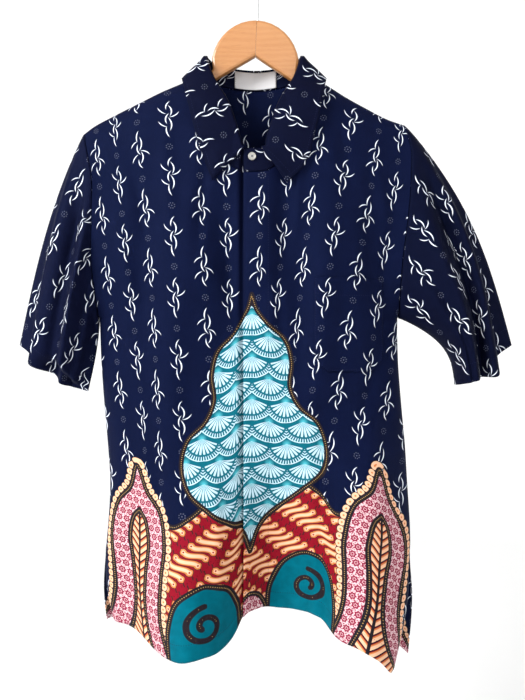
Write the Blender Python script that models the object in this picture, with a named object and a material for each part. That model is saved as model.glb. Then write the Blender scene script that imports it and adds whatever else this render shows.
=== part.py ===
"""Short-sleeved batik shirt hanging on a wooden hanger.

Metres, +Z up, the shirt's front faces -Y. The origin is the inner top of the
hanger's hook, where a rail or peg carries it. A "drop" is a distance below the
origin, so z = -drop. Left and right in x_left and x_right are as seen from the
front; the names of pieces use the wearer's own left and right.
"""
import math

import bmesh
import bpy
import numpy as np
from mathutils import Matrix, Vector

# ---------------------------------------------------------------- driving sizes
CLOTH = 0.0012  # wall of the shirt's cotton
COLLAR_CLOTH = 0.0016  # two plies and interlining
LABEL_CLOTH = 0.0010
SEAM_GAP = 0.0003
SEAM_HALF_GAP = 0.00038  # each side of a butted seam, so its inner corners stay SEAM_GAP apart

NECK_X = -0.005  # middle of the neck
NECK_HALF = 0.0735
NECK_POINT_DROP = 0.1445  # where the shoulder seam meets the collar
NECK_FRONT_DROP = 0.285
NECK_BACK_DROP = 0.1575
NECK_BLEND = 0.006  # width over which the rows change beside the neck point
NECK_CROWDING = 1.9  # how much closer a front's columns lie near the neck point
NECK_RISE = 0.5  # slope of the shoulder line carried on over the open neck

PIT_DROP = 0.4735
RIDGE_LENGTH = 0.10  # how far below the shoulder the body reaches its fullness
SIDE_POWER = 3.0  # how flat the front and back lie between the sides
ARM_POWER = 9.0  # how close to the sides the armholes open
ARM_OPENNESS = 0.42  # how far the armhole stands open, as a share of the body's fullness squared
ARM_RISE = 0.17  # height over which it opens above the armpit

OVERLAP_X = -0.018  # edge of the wearer's left front, on top
UNDERLAP_X = 0.013  # hidden edge of the wearer's right front
UNDERLAP_START_X = -0.046  # where it starts to dip behind
UNDERLAP_END_X = -0.022
UNDERLAP_DEPTH = 0.0062

ROWS_ABOVE_PIT = 14
ROWS_BELOW_PIT = 17
COLUMNS_SIDE = 12
COLUMNS_NECK_FRONT = 8
COLUMNS_NECK_BACK = 8

NAVY = (0.012, 0.016, 0.075)
WHITE = (0.78, 0.77, 0.74)
SHELL = (0.55, 0.56, 0.60)
WOOD = (0.62, 0.33, 0.13)
STEEL = (0.52, 0.53, 0.55)


def table(columns, *rows):
    """Rows of numbers under named columns, as a dictionary of arrays."""
    return {name: np.array(values) for name, values in zip(columns.split(), zip(*rows))}


# The body's sides, one row for each height. Above the armpit they are the armhole
# seams. "front" and "back" are the fullness before and behind the side seams.
SECTIONS = table(
    "drop  x_left  x_right  y_left  y_right  front  back",
    (0.212, -0.2365, 0.1975, 0.000, 0.000, 0.046, 0.036),
    (0.245, -0.2290, 0.2045, 0.000, 0.000, 0.046, 0.037),
    (0.285, -0.2205, 0.2040, 0.000, 0.000, 0.046, 0.038),
    (0.335, -0.2200, 0.2000, 0.000, 0.000, 0.046, 0.038),
    (0.394, -0.2205, 0.1930, 0.000, 0.000, 0.046, 0.038),
    (0.4735, -0.2143, 0.1897, 0.002, 0.002, 0.046, 0.038),
    (0.530, -0.2125, 0.1905, 0.004, 0.002, 0.046, 0.038),
    (0.590, -0.2085, 0.1945, 0.005, 0.000, 0.046, 0.038),
    (0.650, -0.2035, 0.1995, 0.006, -0.002, 0.046, 0.038),
    (0.690, -0.2010, 0.2015, 0.007, -0.004, 0.046, 0.038),
    (0.750, -0.2035, 0.2045, 0.008, -0.008, 0.047, 0.036),
    (0.800, -0.2085, 0.2055, 0.009, -0.012, 0.048, 0.034),
    (0.840, -0.2125, 0.2105, 0.010, -0.016, 0.048, 0.033),
    (0.930, -0.2100, 0.2125, 0.012, -0.026, 0.048, 0.030),
)
# The shoulder line over the hanger's arms, from one armhole to the other.
SHOULDERS = table(
    "x  drop",
    (-0.2365, 0.2250),
    (-0.2225, 0.2150),
    (-0.1925, 0.1988),
    (-0.1600, 0.1825),
    (-0.1275, 0.1665),
    (-0.1015, 0.1555),
    (-0.0785, 0.1445),
    (0.0685, 0.1445),
    (0.0945, 0.1590),
    (0.1190, 0.1743),
    (0.1475, 0.1900),
    (0.1760, 0.2045),
    (0.1975, 0.2120),
)
# Slits at the foot of the side seams: how far each panel's corner has moved in and back.
SLITS = {
    "left": {"drop": 0.786, "front_in": 0.023, "back_in": 0.002, "front_y": -0.012, "back_y": 0.016},
    "right": {"drop": 0.772, "front_in": 0.026, "back_in": 0.008, "front_y": -0.022, "back_y": 0.004},
}
SLIT_LENGTH = 0.115

# Soft ridges (height above 0) and troughs (below 0) that run down a panel.
FOLD_COLUMNS = "x_top  drop_top  x_foot  drop_foot  width  height"
FRONT_FOLDS = table(
    FOLD_COLUMNS,
    (-0.100, 0.240, -0.118, 0.700, 0.026, 0.010),
    (-0.150, 0.230, -0.160, 0.560, 0.020, -0.007),
    (-0.062, 0.270, -0.030, 0.480, 0.018, -0.008),
    (0.012, 0.280, -0.004, 0.470, 0.016, 0.005),
    (0.040, 0.190, 0.030, 0.460, 0.016, -0.009),
    (0.105, 0.180, 0.072, 0.690, 0.026, 0.010),
    (0.155, 0.250, 0.150, 0.480, 0.018, -0.007),
    (0.140, 0.520, 0.165, 0.800, 0.022, 0.008),
    (-0.085, 0.560, -0.092, 1.260, 0.056, 0.058),
    (-0.165, 0.620, -0.175, 1.200, 0.020, -0.014),
    (0.030, 0.560, 0.030, 1.260, 0.052, -0.060),
    (0.140, 0.560, 0.146, 1.260, 0.042, 0.048),
    (0.084, 0.520, 0.090, 1.150, 0.010, -0.012),
)
BACK_FOLDS = table(
    FOLD_COLUMNS,
    (-0.130, 0.230, -0.140, 0.720, 0.026, 0.008),
    (-0.070, 0.300, -0.050, 0.640, 0.022, -0.008),
    (0.000, 0.240, 0.006, 0.800, 0.028, 0.007),
    (0.068, 0.280, 0.058, 0.620, 0.020, -0.008),
    (0.118, 0.220, 0.130, 0.740, 0.026, 0.008),
    (-0.118, 0.620, -0.124, 1.240, 0.036, 0.016),
    (-0.040, 0.600, -0.036, 1.240, 0.034, -0.012),
    (0.040, 0.620, 0.044, 1.240, 0.034, 0.014),
    (0.122, 0.600, 0.126, 1.240, 0.034, -0.012),
)
FRONT_HEM = table(
    "x  drop",
    (-0.209, 0.881),
    (-0.184, 0.884),
    (-0.146, 0.894),
    (-0.110, 0.896),
    (-0.069, 0.892),
    (-0.045, 0.889),
    (-0.031, 0.880),
    (-0.018, 0.862),
    (0.000, 0.859),
    (0.030, 0.864),
    (0.062, 0.862),
    (0.083, 0.865),
    (0.098, 0.876),
    (0.130, 0.882),
    (0.156, 0.894),
    (0.186, 0.918),
)
BACK_HEM = table(
    "x  drop",
    (-0.212, 0.892),
    (-0.130, 0.884),
    (-0.030, 0.874),
    (0.060, 0.874),
    (0.140, 0.892),
    (0.206, 0.926),
)

# The collar's stand: from the neck seam up to the fold line, by the angle round the
# neck from the middle of the back (0) past the shoulder (90) to the front (180).
STAND = table(
    "angle  inward  back  rise",
    (0, 0.000, 0.003, 0.0250),
    (45, 0.001, 0.002, 0.0245),
    (90, 0.0095, 0.000, 0.0250),
    (101, 0.0100, 0.000, 0.0215),
    (111, 0.0150, 0.001, 0.0130),
    (120, 0.0205, 0.001, 0.0085),
    (135, 0.0200, 0.002, 0.0160),
    (150, 0.0130, 0.003, 0.0250),
    (165, 0.0025, 0.003, 0.0300),
    (180, 0.0000, 0.003, 0.0310),
    (200, 0.0000, 0.003, 0.0310),
)
STAND_CLEAR = 0.0016  # extra gap where the stand rises square from the shoulder
# The collar's outer edge by the same angle. The last row is a leaf's point, and each
# leaf's angles are scaled so that its point is at its own end of the fold.
FALL_END_LEFT = 166
FALL_END_RIGHT = 171
FALL_END_SPACE = 4  # no column lies nearer to a leaf's end than this
FALL_EDGE = table(
    "angle  x_left  drop_left  x_right  drop_right",
    (0, -0.0050, 0.1760, -0.0050, 0.1760),
    (45, -0.0680, 0.1710, 0.0580, 0.1720),
    (72, -0.0930, 0.1525, 0.0840, 0.1560),
    (90, -0.1014, 0.1480, 0.0920, 0.1505),
    (115, -0.0950, 0.1770, 0.0860, 0.1800),
    (140, -0.0800, 0.2350, 0.0750, 0.2330),
    (155, -0.0680, 0.2720, 0.0620, 0.2760),
    (166, -0.0582, 0.2973, 0.0382, 0.2998),
)
FALL_ROWS = 5
FALL_CLEAR = 0.0044  # how far the fall lies off the body
FALL_ROLL = 0.0042  # half the thickness of the rolled fold
FOLD_CLEAR = 0.0009  # between the fall and the top of the stand
FALL_BELLY = 0.003  # how far a leaf bulges between its fold and its edge
FALL_LIFT = 0.0004  # the first row under the fold, so the rolled fold stays round
STAND_SHARES = (0.0, 0.35, 0.7, 1.0)

# Sleeve hems, by turns round the sleeve: 0 outer fold, 0.25 front, 0.5 underarm.
CUFF_COLUMNS = "turn  x  y  drop"
SLEEVES = {
    "sleeve_right": {
        "side": -1,
        "bow_outer": 0.011,
        "bow_inner": -0.003,
        "cuff": table(
            CUFF_COLUMNS,
            (0.00, -0.3250, 0.006, 0.5105),
            (0.06, -0.3085, -0.004, 0.5225),
            (0.12, -0.3070, -0.014, 0.5360),
            (0.22, -0.2780, -0.020, 0.5503),
            (0.30, -0.2670, -0.021, 0.5620),
            (0.42, -0.2480, -0.016, 0.5685),
            (0.50, -0.2310, 0.000, 0.5730),
            (0.60, -0.2460, 0.018, 0.5640),
            (0.75, -0.2800, 0.024, 0.5430),
            (0.92, -0.3140, 0.017, 0.5180),
        ),
    },
    "sleeve_left": {
        "side": 1,
        "bow_outer": 0.027,
        "bow_inner": 0.027,
        "cuff": table(
            CUFF_COLUMNS,
            (0.00, 0.3467, 0.006, 0.5110),
            (0.06, 0.3240, -0.004, 0.5275),
            (0.12, 0.3255, -0.014, 0.5470),
            (0.25, 0.3030, -0.021, 0.5540),
            (0.42, 0.2785, -0.016, 0.5615),
            (0.50, 0.2690, 0.000, 0.5640),
            (0.60, 0.2790, 0.018, 0.5560),
            (0.75, 0.3060, 0.024, 0.5390),
            (0.92, 0.3370, 0.017, 0.5180),
        ),
    },
}
SLEEVE_ROWS = 11
SLEEVE_CLEAR = 0.0008  # leaves SEAM_GAP between walls that meet at a slant
SLEEVE_PIT_CLEAR = 0.0014
SLEEVE_BELLY = 0.010
SLEEVE_FOLDS = table(
    "turn_top  turn_foot  width  height",
    (0.13, 0.24, 0.05, -0.011),
    (0.33, 0.38, 0.05, 0.006),
    (0.66, 0.72, 0.05, -0.008),
    (0.84, 0.88, 0.05, 0.005),
)

POCKET = {"x_left": 0.074, "x_right": 0.166, "drop_top": 0.423, "drop_foot": 0.545, "corner": 0.016}
POCKET_CELLS = 8
POCKET_CLEAR = 0.0009  # leaves SEAM_GAP where the cloth below slopes
LABEL = {"x_left": -0.031, "x_right": 0.0275, "foot": 0.06, "top": 0.97}
LABEL_CLEAR = 0.0007  # leaves SEAM_GAP where the stand curves
LABEL_COLUMNS = 8
LABEL_ROWS = 2

BUTTON_RADIUS = 0.0057
BUTTON_HEIGHT = 0.0020
BUTTON_SIDES = 16
BUTTON_CLEAR = 0.0005  # between the neck button and the stand
NECK_BUTTON = {"x": -0.0069, "drop": 0.2650}
FLY_BUTTON_X = -0.0118
FLY_BUTTONS = 6
FLY_FIRST_DROP = 0.352
FLY_STEP = 0.086

# ---------------------------------------------------------------- hanger sizes
BOARD = 0.012
BOARD_EDGE = 0.0035
WOOD_TOP_DROP = 0.070
HUMP_HALF_WIDTH = 0.060
HUMP_HEIGHT = 0.064
NARROWS = ((0.0575, 0.1380), (0.0640, 0.1500))  # across and drop, inside the collar
ARM_TOP_START = (0.0740, 0.1545)
ARM_SLOPE = math.tan(math.radians(26))
ARM_TIP_X = 0.180
ARM_TIP_HEIGHT = 0.026
NOTCH_DROP = 0.119  # peak of the hollow under the hump
NOTCH_SLOPE = 0.625
NOTCH_END_X = 0.060
HANGER_TILT = math.radians(1.9)
TILT_DROP = 0.035  # the wood swings a little about this height of the wire
WIRE_RADIUS = 0.0015
WIRE_SIDES = 8
WIRE_FOOT_DROP = 0.088
HOLE_RADIUS = 0.0018
HOLE_DROP = 0.090  # foot of the hole
HOLE_OVERRUN = 0.010  # how far the cutter stands out of the wood
STEM_TOP_DROP = 0.040
HOOK_RADIUS = 0.018  # to the wire's middle
HOOK_END_DEGREES = 212
WIRE_STEP = 0.005
STEM_STEPS = 9
BEND_STEPS = 5


# ---------------------------------------------------------------- shared tools
def smooth_line(x, xs, ys):
    """Smooth line through the points (xs, ys), read at x, level past both ends."""
    slopes = np.gradient(ys, xs)
    x = np.asarray(x, dtype=float)
    low = np.clip(np.searchsorted(xs, x, side="right") - 1, 0, len(xs) - 2)
    span = xs[low + 1] - xs[low]
    t = np.clip((x - xs[low]) / span, 0.0, 1.0)
    start = (1 + 2 * t) * (1 - t) ** 2 * ys[low] + t * (1 - t) ** 2 * span * slopes[low]
    end = t * t * (3 - 2 * t) * ys[low + 1] - t * t * (1 - t) * span * slopes[low + 1]
    return start + end


def ease(t):
    """0 to 1 with level ends."""
    t = np.clip(t, 0.0, 1.0)
    return t * t * (3 - 2 * t)


def material(name, colour, roughness, metallic=0.0):
    """Principled material in the piece's plain colour."""
    made = bpy.data.materials.get(name) or bpy.data.materials.new(name)
    made.use_nodes = True
    shader = made.node_tree.nodes["Principled BSDF"]
    shader.inputs["Base Color"].default_value = (*colour, 1.0)
    shader.inputs["Roughness"].default_value = roughness
    shader.inputs["Metallic"].default_value = metallic
    return made


def new_object(name, mesh, paint):
    """Object that shows the mesh, round faces shaded smooth."""
    mesh.materials.append(paint)
    mesh.shade_smooth()
    mesh.set_sharp_from_angle(angle=math.radians(40))
    made = bpy.data.objects.new(name, mesh)
    bpy.context.scene.collection.objects.link(made)
    return made


def wall(name, points, thickness, paint, round_about=False):
    """Cloth wall about a grid of points, rows by columns; round_about closes it to a tube."""
    rows, columns = points.shape[:2]
    mesh = bpy.data.meshes.new(name)
    last = columns if round_about else columns - 1
    faces = []
    for row in range(rows - 1):
        for column in range(last):
            across = (column + 1) % columns
            upper = row * columns
            lower = upper + columns
            faces.append((upper + column, lower + column, lower + across, upper + across))
    mesh.from_pydata(points.reshape(-1, 3).tolist(), [], faces)
    made = new_object(name, mesh, paint)
    solid = made.modifiers.new("Cloth thickness", "SOLIDIFY")
    solid.thickness = thickness
    solid.offset = 0.0
    return made


# ---------------------------------------------------------------- body surface
def shoulder_drop(x):
    """Drop of the shoulder line, carried on upwards over the open neck."""
    over_neck = np.clip(NECK_HALF - np.abs(x - NECK_X), 0.0, None)
    return smooth_line(x, SHOULDERS["x"], SHOULDERS["drop"]) - NECK_RISE * over_neck


def neckline_drop(x, face):
    """Drop of the front's or back's neckline."""
    reach = np.clip(np.abs(x - NECK_X) / NECK_HALF, 0.0, 1.0)
    if face == "front":
        return NECK_FRONT_DROP + (NECK_POINT_DROP - NECK_FRONT_DROP) * reach**3
    return NECK_BACK_DROP + (NECK_POINT_DROP - NECK_BACK_DROP) * reach**2


def top_drop(x, face):
    """Drop of a panel's upper edge: its neckline inside the neck points, else the shoulder."""
    inside = np.abs(x - NECK_X) < NECK_HALF
    return np.where(inside, neckline_drop(x, face), shoulder_drop(x))


def section(drop, column):
    """A column of SECTIONS at each drop."""
    return smooth_line(drop, SECTIONS["drop"], SECTIONS[column])


def slit_share(drop, side):
    """0 above a side slit, growing to 1 at the hem."""
    return np.clip((drop - SLITS[side]["drop"]) / SLIT_LENGTH, 0.0, 1.3) ** 1.5


def side_x(drop, side, face):
    """Where a panel's side edge lies across, its slit corner drawn in."""
    inward = SLITS[side][face + "_in"] * slit_share(drop, side)
    return section(drop, "x_" + side) + (inward if side == "left" else -inward)


def folds_height(x, drop, folds):
    """Sum of the ridges and troughs, each fading out at both its ends."""
    total = np.zeros(np.broadcast(x, drop).shape)
    for row in range(len(folds["width"])):
        along = (drop - folds["drop_top"][row]) / (folds["drop_foot"][row] - folds["drop_top"][row])
        middle = folds["x_top"][row] + (folds["x_foot"][row] - folds["x_top"][row]) * along
        shape = np.exp(-(((x - middle) / folds["width"][row]) ** 2))
        total += folds["height"][row] * shape * ease(along / 0.5) * ease((1 - along) / 0.35)
    return total


def body_y(x, drop, face):
    """How far forward or back the front's or back's cloth lies at (x, drop).

    The fullness grows as a rounded ridge below the shoulder line and closes as a
    rounded edge at the side seams; above the armpit the sides stay open for the arms.
    """
    left = side_x(drop, "left", face)
    right = side_x(drop, "right", face)
    across = np.clip((2 * x - left - right) / (right - left), -1.0, 1.0)
    below = np.clip(drop - shoulder_drop(x), 0.0, None)
    top = np.sqrt(1 - np.exp(-below / RIDGE_LENGTH))
    open_share = 1 - (1 - np.clip((PIT_DROP - drop) / ARM_RISE, 0.0, 1.0)) ** 2
    opening = ARM_OPENNESS * open_share * np.abs(across) ** ARM_POWER
    side = np.sqrt(np.clip(1 - np.abs(across) ** SIDE_POWER + opening, 0.0, 1.0))
    y_left = section(drop, "y_left") + SLITS["left"][face + "_y"] * slit_share(drop, "left")
    y_right = section(drop, "y_right") + SLITS["right"][face + "_y"] * slit_share(drop, "right")
    seam = y_left + (y_right - y_left) * (across + 1) / 2
    if face == "front":
        fullness = section(drop, "front") + folds_height(x, drop, FRONT_FOLDS)
        return seam - SEAM_HALF_GAP - fullness * top * side
    fullness = section(drop, "back") + folds_height(x, drop, BACK_FOLDS)
    return seam + SEAM_HALF_GAP + fullness * top * side


def underlap(x):
    """How far the wearer's right front dips behind the placket."""
    return UNDERLAP_DEPTH * ease((x - UNDERLAP_START_X) / (UNDERLAP_END_X - UNDERLAP_START_X))


def place(x, y, drop):
    """Points from arrays across, back and down."""
    return np.stack(np.broadcast_arrays(x, y, -np.asarray(drop)), axis=-1)


def row_drops(x_top, hem_at, face):
    """Drops of a panel's rows below each column's upper end.

    They are closer together at the shoulder and the armpit, and even below the neckline.
    """
    even = np.arange(ROWS_ABOVE_PIT) / ROWS_ABOVE_PIT
    close = (1 - np.cos(math.pi * even)) / 2
    lower = np.arange(ROWS_BELOW_PIT + 1) / ROWS_BELOW_PIT
    top = top_drop(x_top, face)
    hem = smooth_line(x_top, hem_at["x"], hem_at["drop"])
    inside = ease((NECK_HALF - np.abs(x_top - NECK_X)) / NECK_BLEND)
    upper = close[:, None] + np.outer(even - close, inside)
    above = top + upper * (PIT_DROP - top)
    below = PIT_DROP + np.outer(lower, hem - PIT_DROP)
    return np.concatenate([above, below])


def side_steps(count):
    """0 to 1, closer together near 0, where a side seam rounds away."""
    return 1 - np.cos(math.pi / 2 * np.arange(count) / count)


def neck_columns_front(side, inner_x):
    """Across places from a neck point to a front's inner edge, closer where the neckline is steep."""
    neck_point = NECK_X + (NECK_HALF if side == "right" else -NECK_HALF)
    steps = (np.arange(COLUMNS_NECK_FRONT + 1) / COLUMNS_NECK_FRONT) ** NECK_CROWDING
    return neck_point + (inner_x - neck_point) * steps


def neck_columns_back():
    """Across places from neck point to neck point, closer at both."""
    turns = np.linspace(-math.pi / 2, math.pi / 2, COLUMNS_NECK_BACK + 1)
    return NECK_X + NECK_HALF * np.sin(turns)


def panel_columns(drop, face, side, inner_x):
    """Across places of a front's columns at one drop, from its side seam to inner_x."""
    start = side_x(drop, side, face)
    inner = neck_columns_front(side, inner_x)
    outer = start + (inner[0] - start) * side_steps(COLUMNS_SIDE)
    return np.concatenate([outer, inner])


def back_columns(drop):
    """Across places of the back's columns at one drop, from side to side."""
    left = side_x(drop, "left", "back")
    right = side_x(drop, "right", "back")
    middle = neck_columns_back()
    steps = side_steps(COLUMNS_SIDE)
    left_half = left + (middle[0] - left) * steps
    right_half = right + (middle[-1] - right) * steps
    return np.concatenate([left_half, middle, right_half[::-1]])


def panel(face, columns_at, hem_at, dip=None):
    """Grid of a front or the back: rows from its upper edge to the hem."""
    drops = row_drops(columns_at(SECTIONS["drop"][0]), hem_at, face)
    x = np.array([[columns_at(drop)[column] for column, drop in enumerate(row)] for row in drops])
    y = body_y(x, drops, face)
    if dip is not None:
        y = y + dip(x)
    return place(x, y, drops)


def front_right_grid():
    """Wearer's right front, its inner edge behind the placket."""
    return panel("front", lambda drop: panel_columns(drop, "front", "left", UNDERLAP_X), FRONT_HEM, underlap)


def front_left_grid():
    """Wearer's left front, on top."""
    return panel("front", lambda drop: panel_columns(drop, "front", "right", OVERLAP_X), FRONT_HEM)


def back_grid():
    """The back."""
    return panel("back", back_columns, BACK_HEM)


# ---------------------------------------------------------------- collar surface
def neck_seam(angle):
    """Neck seam at an angle in degrees round the neck: 0 back, 90 right, 180 front."""
    turn = np.radians(angle)
    x = NECK_X + NECK_HALF * np.sin(turn)
    at_front = np.abs(angle) > 90
    drop = np.where(at_front, neckline_drop(x, "front"), neckline_drop(x, "back"))
    y_front = body_y(x, drop, "front") + np.where(angle < 0, underlap(x), 0.0)
    y = np.where(at_front, y_front, body_y(x, drop, "back"))
    return place(x, y, drop)


def stand_point(angle, share):
    """Point on the stand, from its neck seam (share 0) to the fold line (share 1)."""
    away = np.abs(angle)
    inward = smooth_line(away, STAND["angle"], STAND["inward"]) * np.where(angle < 0, 1.0, -1.0)
    back = smooth_line(away, STAND["angle"], STAND["back"])
    rise = smooth_line(away, STAND["angle"], STAND["rise"])
    lift = np.stack([inward, back, rise], axis=-1)
    length = np.linalg.norm(lift, axis=-1, keepdims=True)
    upright = np.exp(-(((away - 90) / 22) ** 2))[..., None]
    start = (CLOTH / 2 + SEAM_GAP + STAND_CLEAR * upright) / length
    point = neck_seam(angle) + lift * (start + (1 - start) * share)
    dip = np.where(angle < 0, underlap(point[..., 0]), 0.0)
    front = body_y(point[..., 0], -point[..., 2], "front") + dip
    point[..., 1] = np.where(away > 90, np.minimum(point[..., 1], front), point[..., 1])
    return point


def stand_facing(angles):
    """Direction that the stand's outer side faces."""
    along = stand_point(angles + 1.0, 0.5) - stand_point(angles - 1.0, 0.5)
    lift = stand_point(angles, 1.0) - stand_point(angles, 0.0)
    facing = np.cross(lift, along)
    facing /= np.linalg.norm(facing, axis=-1, keepdims=True)
    outwards = facing[:, 0] * np.sin(np.radians(angles)) + facing[:, 1] * np.cos(np.radians(angles))
    return facing * np.sign(outwards)[:, None]


def fold_angles():
    """Angles of the stand's columns, the same as the panels' own along the neck seam."""
    def reach(x):
        return np.degrees(np.arcsin(np.clip((x - NECK_X) / NECK_HALF, -1.0, 1.0)))

    under = -180 - reach(neck_columns_front("left", UNDERLAP_X)[::-1])
    behind = reach(neck_columns_back())
    over = 180 - reach(neck_columns_front("right", OVERLAP_X))
    return np.concatenate([under, behind[1:-1], over])


def stand_grid():
    """The stand, from its neck seam up to the fold line."""
    angles = fold_angles()
    return np.array([stand_point(angles, share) for share in STAND_SHARES])


def fall_grid():
    """The turned-down collar, from its fold line to its outer edge."""
    angles = fold_angles()
    between = (angles > FALL_END_SPACE - FALL_END_LEFT) & (angles < FALL_END_RIGHT - FALL_END_SPACE)
    angles = np.concatenate([[-FALL_END_LEFT], angles[between], [FALL_END_RIGHT]])
    away = np.abs(angles)
    is_left = angles < 0
    reach = np.where(is_left, away, away * FALL_END_LEFT / FALL_END_RIGHT)
    edge = {
        name: np.where(
            is_left,
            smooth_line(reach, FALL_EDGE["angle"], FALL_EDGE[name + "_left"]),
            smooth_line(reach, FALL_EDGE["angle"], FALL_EDGE[name + "_right"]),
        )
        for name in ("x", "drop")
    }
    fold = stand_point(angles, 1.0)
    out = stand_facing(angles)
    up = fold - stand_point(angles, 0.0)
    up /= np.linalg.norm(up, axis=-1, keepdims=True)
    at_front = away > 90
    beside = np.clip(np.abs(away - 90) / 8, 0.0, 1.0)
    start = fold + out * FALL_ROLL + up * FALL_LIFT
    rows = [fold + up * (COLLAR_CLOTH / 2 + SEAM_GAP + FOLD_CLEAR)]
    for row in range(FALL_ROWS + 1):
        share = row / FALL_ROWS
        x = start[:, 0] + (edge["x"] - start[:, 0]) * share
        drop = -start[:, 2] + (edge["drop"] + start[:, 2]) * share
        front = np.minimum(body_y(x, drop, "front"), fold[:, 1]) - FALL_CLEAR
        back = np.maximum(body_y(x, drop, "back"), fold[:, 1]) + FALL_CLEAR
        laid = np.where(at_front, front, back)
        y = start[:, 1] + (laid - start[:, 1]) * share
        y = y + out[:, 1] * FALL_BELLY * math.sin(math.pi * share)
        held = np.where(at_front, np.minimum(y, front), np.maximum(y, back))
        rows.append(place(x, y + (held - y) * beside, drop))
    return np.array(rows)


# ---------------------------------------------------------------- sleeve surface
def armhole(side):
    """Armhole seam as a ring of points: down the front from the shoulder, up the back."""
    front = front_right_grid() if side < 0 else front_left_grid()
    back = back_grid()
    down = front[: ROWS_ABOVE_PIT + 1, 0]
    up = back[: ROWS_ABOVE_PIT + 1, 0 if side < 0 else -1]
    return np.concatenate([down[:-1], up[:0:-1]])


def sleeve_grid(side, bow_outer, bow_inner, cuff):
    """Sleeve from the armhole seam to its hem, bowed out between them."""
    start = armhole(side)
    count = len(start)
    turns = np.arange(count) / count
    low = np.cos(2 * math.pi * turns) * 0.5 + 0.5  # 1 at the outer fold, 0 at the underarm
    clear = SLEEVE_CLEAR + SLEEVE_PIT_CLEAR * (1 - low) ** 4
    start = start + np.stack([side * clear, 0 * clear, 0 * clear], axis=-1)
    wrapped = np.concatenate([cuff["turn"] - 1, cuff["turn"], cuff["turn"] + 1])
    end = place(*(smooth_line(turns, wrapped, np.tile(cuff[name], 3)) for name in ("x", "y", "drop")))
    bow = bow_inner + (bow_outer - bow_inner) * low
    forward = -np.sin(2 * math.pi * turns)
    rows = []
    for share in np.arange(SLEEVE_ROWS + 1) / SLEEVE_ROWS:
        swell = math.sin(math.pi * share**0.8)
        points = start + (end - start) * share
        points[:, 0] += side * bow * swell
        fold = np.zeros(count)
        for row in range(len(SLEEVE_FOLDS["width"])):
            top, foot = SLEEVE_FOLDS["turn_top"][row], SLEEVE_FOLDS["turn_foot"][row]
            middle = top + (foot - top) * share
            shape = np.exp(-(((turns - middle) / SLEEVE_FOLDS["width"][row]) ** 2))
            fold += SLEEVE_FOLDS["height"][row] * shape * ease(share * 4)
        outward = np.where(turns < 0.5, -1.0, 1.0)
        points[:, 1] += forward * SLEEVE_BELLY * swell + outward * fold
        rows.append(points)
    return np.array(rows)


# ---------------------------------------------------------------- laid-on pieces
def pocket_grid():
    """Patch pocket a step outside the wearer's left front, its lower corners cut off."""
    x = np.linspace(POCKET["x_left"], POCKET["x_right"], POCKET_CELLS + 1)
    near_side = np.minimum(x - x[0], x[-1] - x)
    foot = POCKET["drop_foot"] - np.clip(POCKET["corner"] - near_side, 0.0, None)
    shares = np.linspace(0.0, 1.0, POCKET_CELLS + 1)
    drops = POCKET["drop_top"] + np.outer(shares, foot - POCKET["drop_top"])
    across = np.tile(x, (POCKET_CELLS + 1, 1))
    return place(across, body_y(across, drops, "front") - CLOTH - POCKET_CLEAR, drops)


def label_grid():
    """Label on the inside of the stand, behind the neck."""
    x = np.linspace(LABEL["x_left"], LABEL["x_right"], LABEL_COLUMNS + 1)
    angles = np.degrees(np.arcsin((x - NECK_X) / NECK_HALF))
    rows = []
    for share in np.linspace(LABEL["foot"], LABEL["top"], LABEL_ROWS + 1):
        points = stand_point(angles, share)
        inward = (COLLAR_CLOTH + LABEL_CLOTH) / 2 + LABEL_CLEAR
        turn = np.radians(angles)
        rows.append(points - inward * np.stack([np.sin(turn), np.cos(turn), 0 * turn], axis=-1))
    return np.array(rows)


def button(name, centre, facing, paint):
    """Turned disc with a raised rim, its face towards "facing"."""
    profile = (
        (0.0, 0.70),
        (0.55, 0.72),
        (0.70, 1.00),
        (0.88, 0.98),
        (1.00, 0.65),
        (0.96, 0.25),
        (0.70, 0.00),
        (0.0, 0.00),
    )
    shape = bmesh.new()
    line = [shape.verts.new((r * BUTTON_RADIUS, 0.0, (h - 0.5) * BUTTON_HEIGHT)) for r, h in profile]
    edges = [shape.edges.new(pair) for pair in zip(line, line[1:])]
    bmesh.ops.spin(
        shape,
        geom=line + edges,
        cent=(0, 0, 0),
        axis=(0, 0, 1),
        angle=2 * math.pi,
        steps=BUTTON_SIDES,
        use_merge=True,
    )
    bmesh.ops.remove_doubles(shape, verts=shape.verts, dist=0.00002)
    bmesh.ops.recalc_face_normals(shape, faces=shape.faces)
    mesh = bpy.data.meshes.new(name)
    shape.to_mesh(mesh)
    shape.free()
    made = new_object(name, mesh, paint)
    made.location = centre
    made.rotation_mode = "QUATERNION"
    made.rotation_quaternion = facing.to_track_quat("Z", "Y")
    return made


def front_facing(x, drop):
    """Direction that the front's cloth faces at (x, drop)."""
    step = 0.004
    slope_x = (body_y(x + step, drop, "front") - body_y(x - step, drop, "front")) / (2 * step)
    slope_drop = (body_y(x, drop + step, "front") - body_y(x, drop - step, "front")) / (2 * step)
    return Vector((float(slope_x), -1.0, -float(slope_drop))).normalized()


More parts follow.
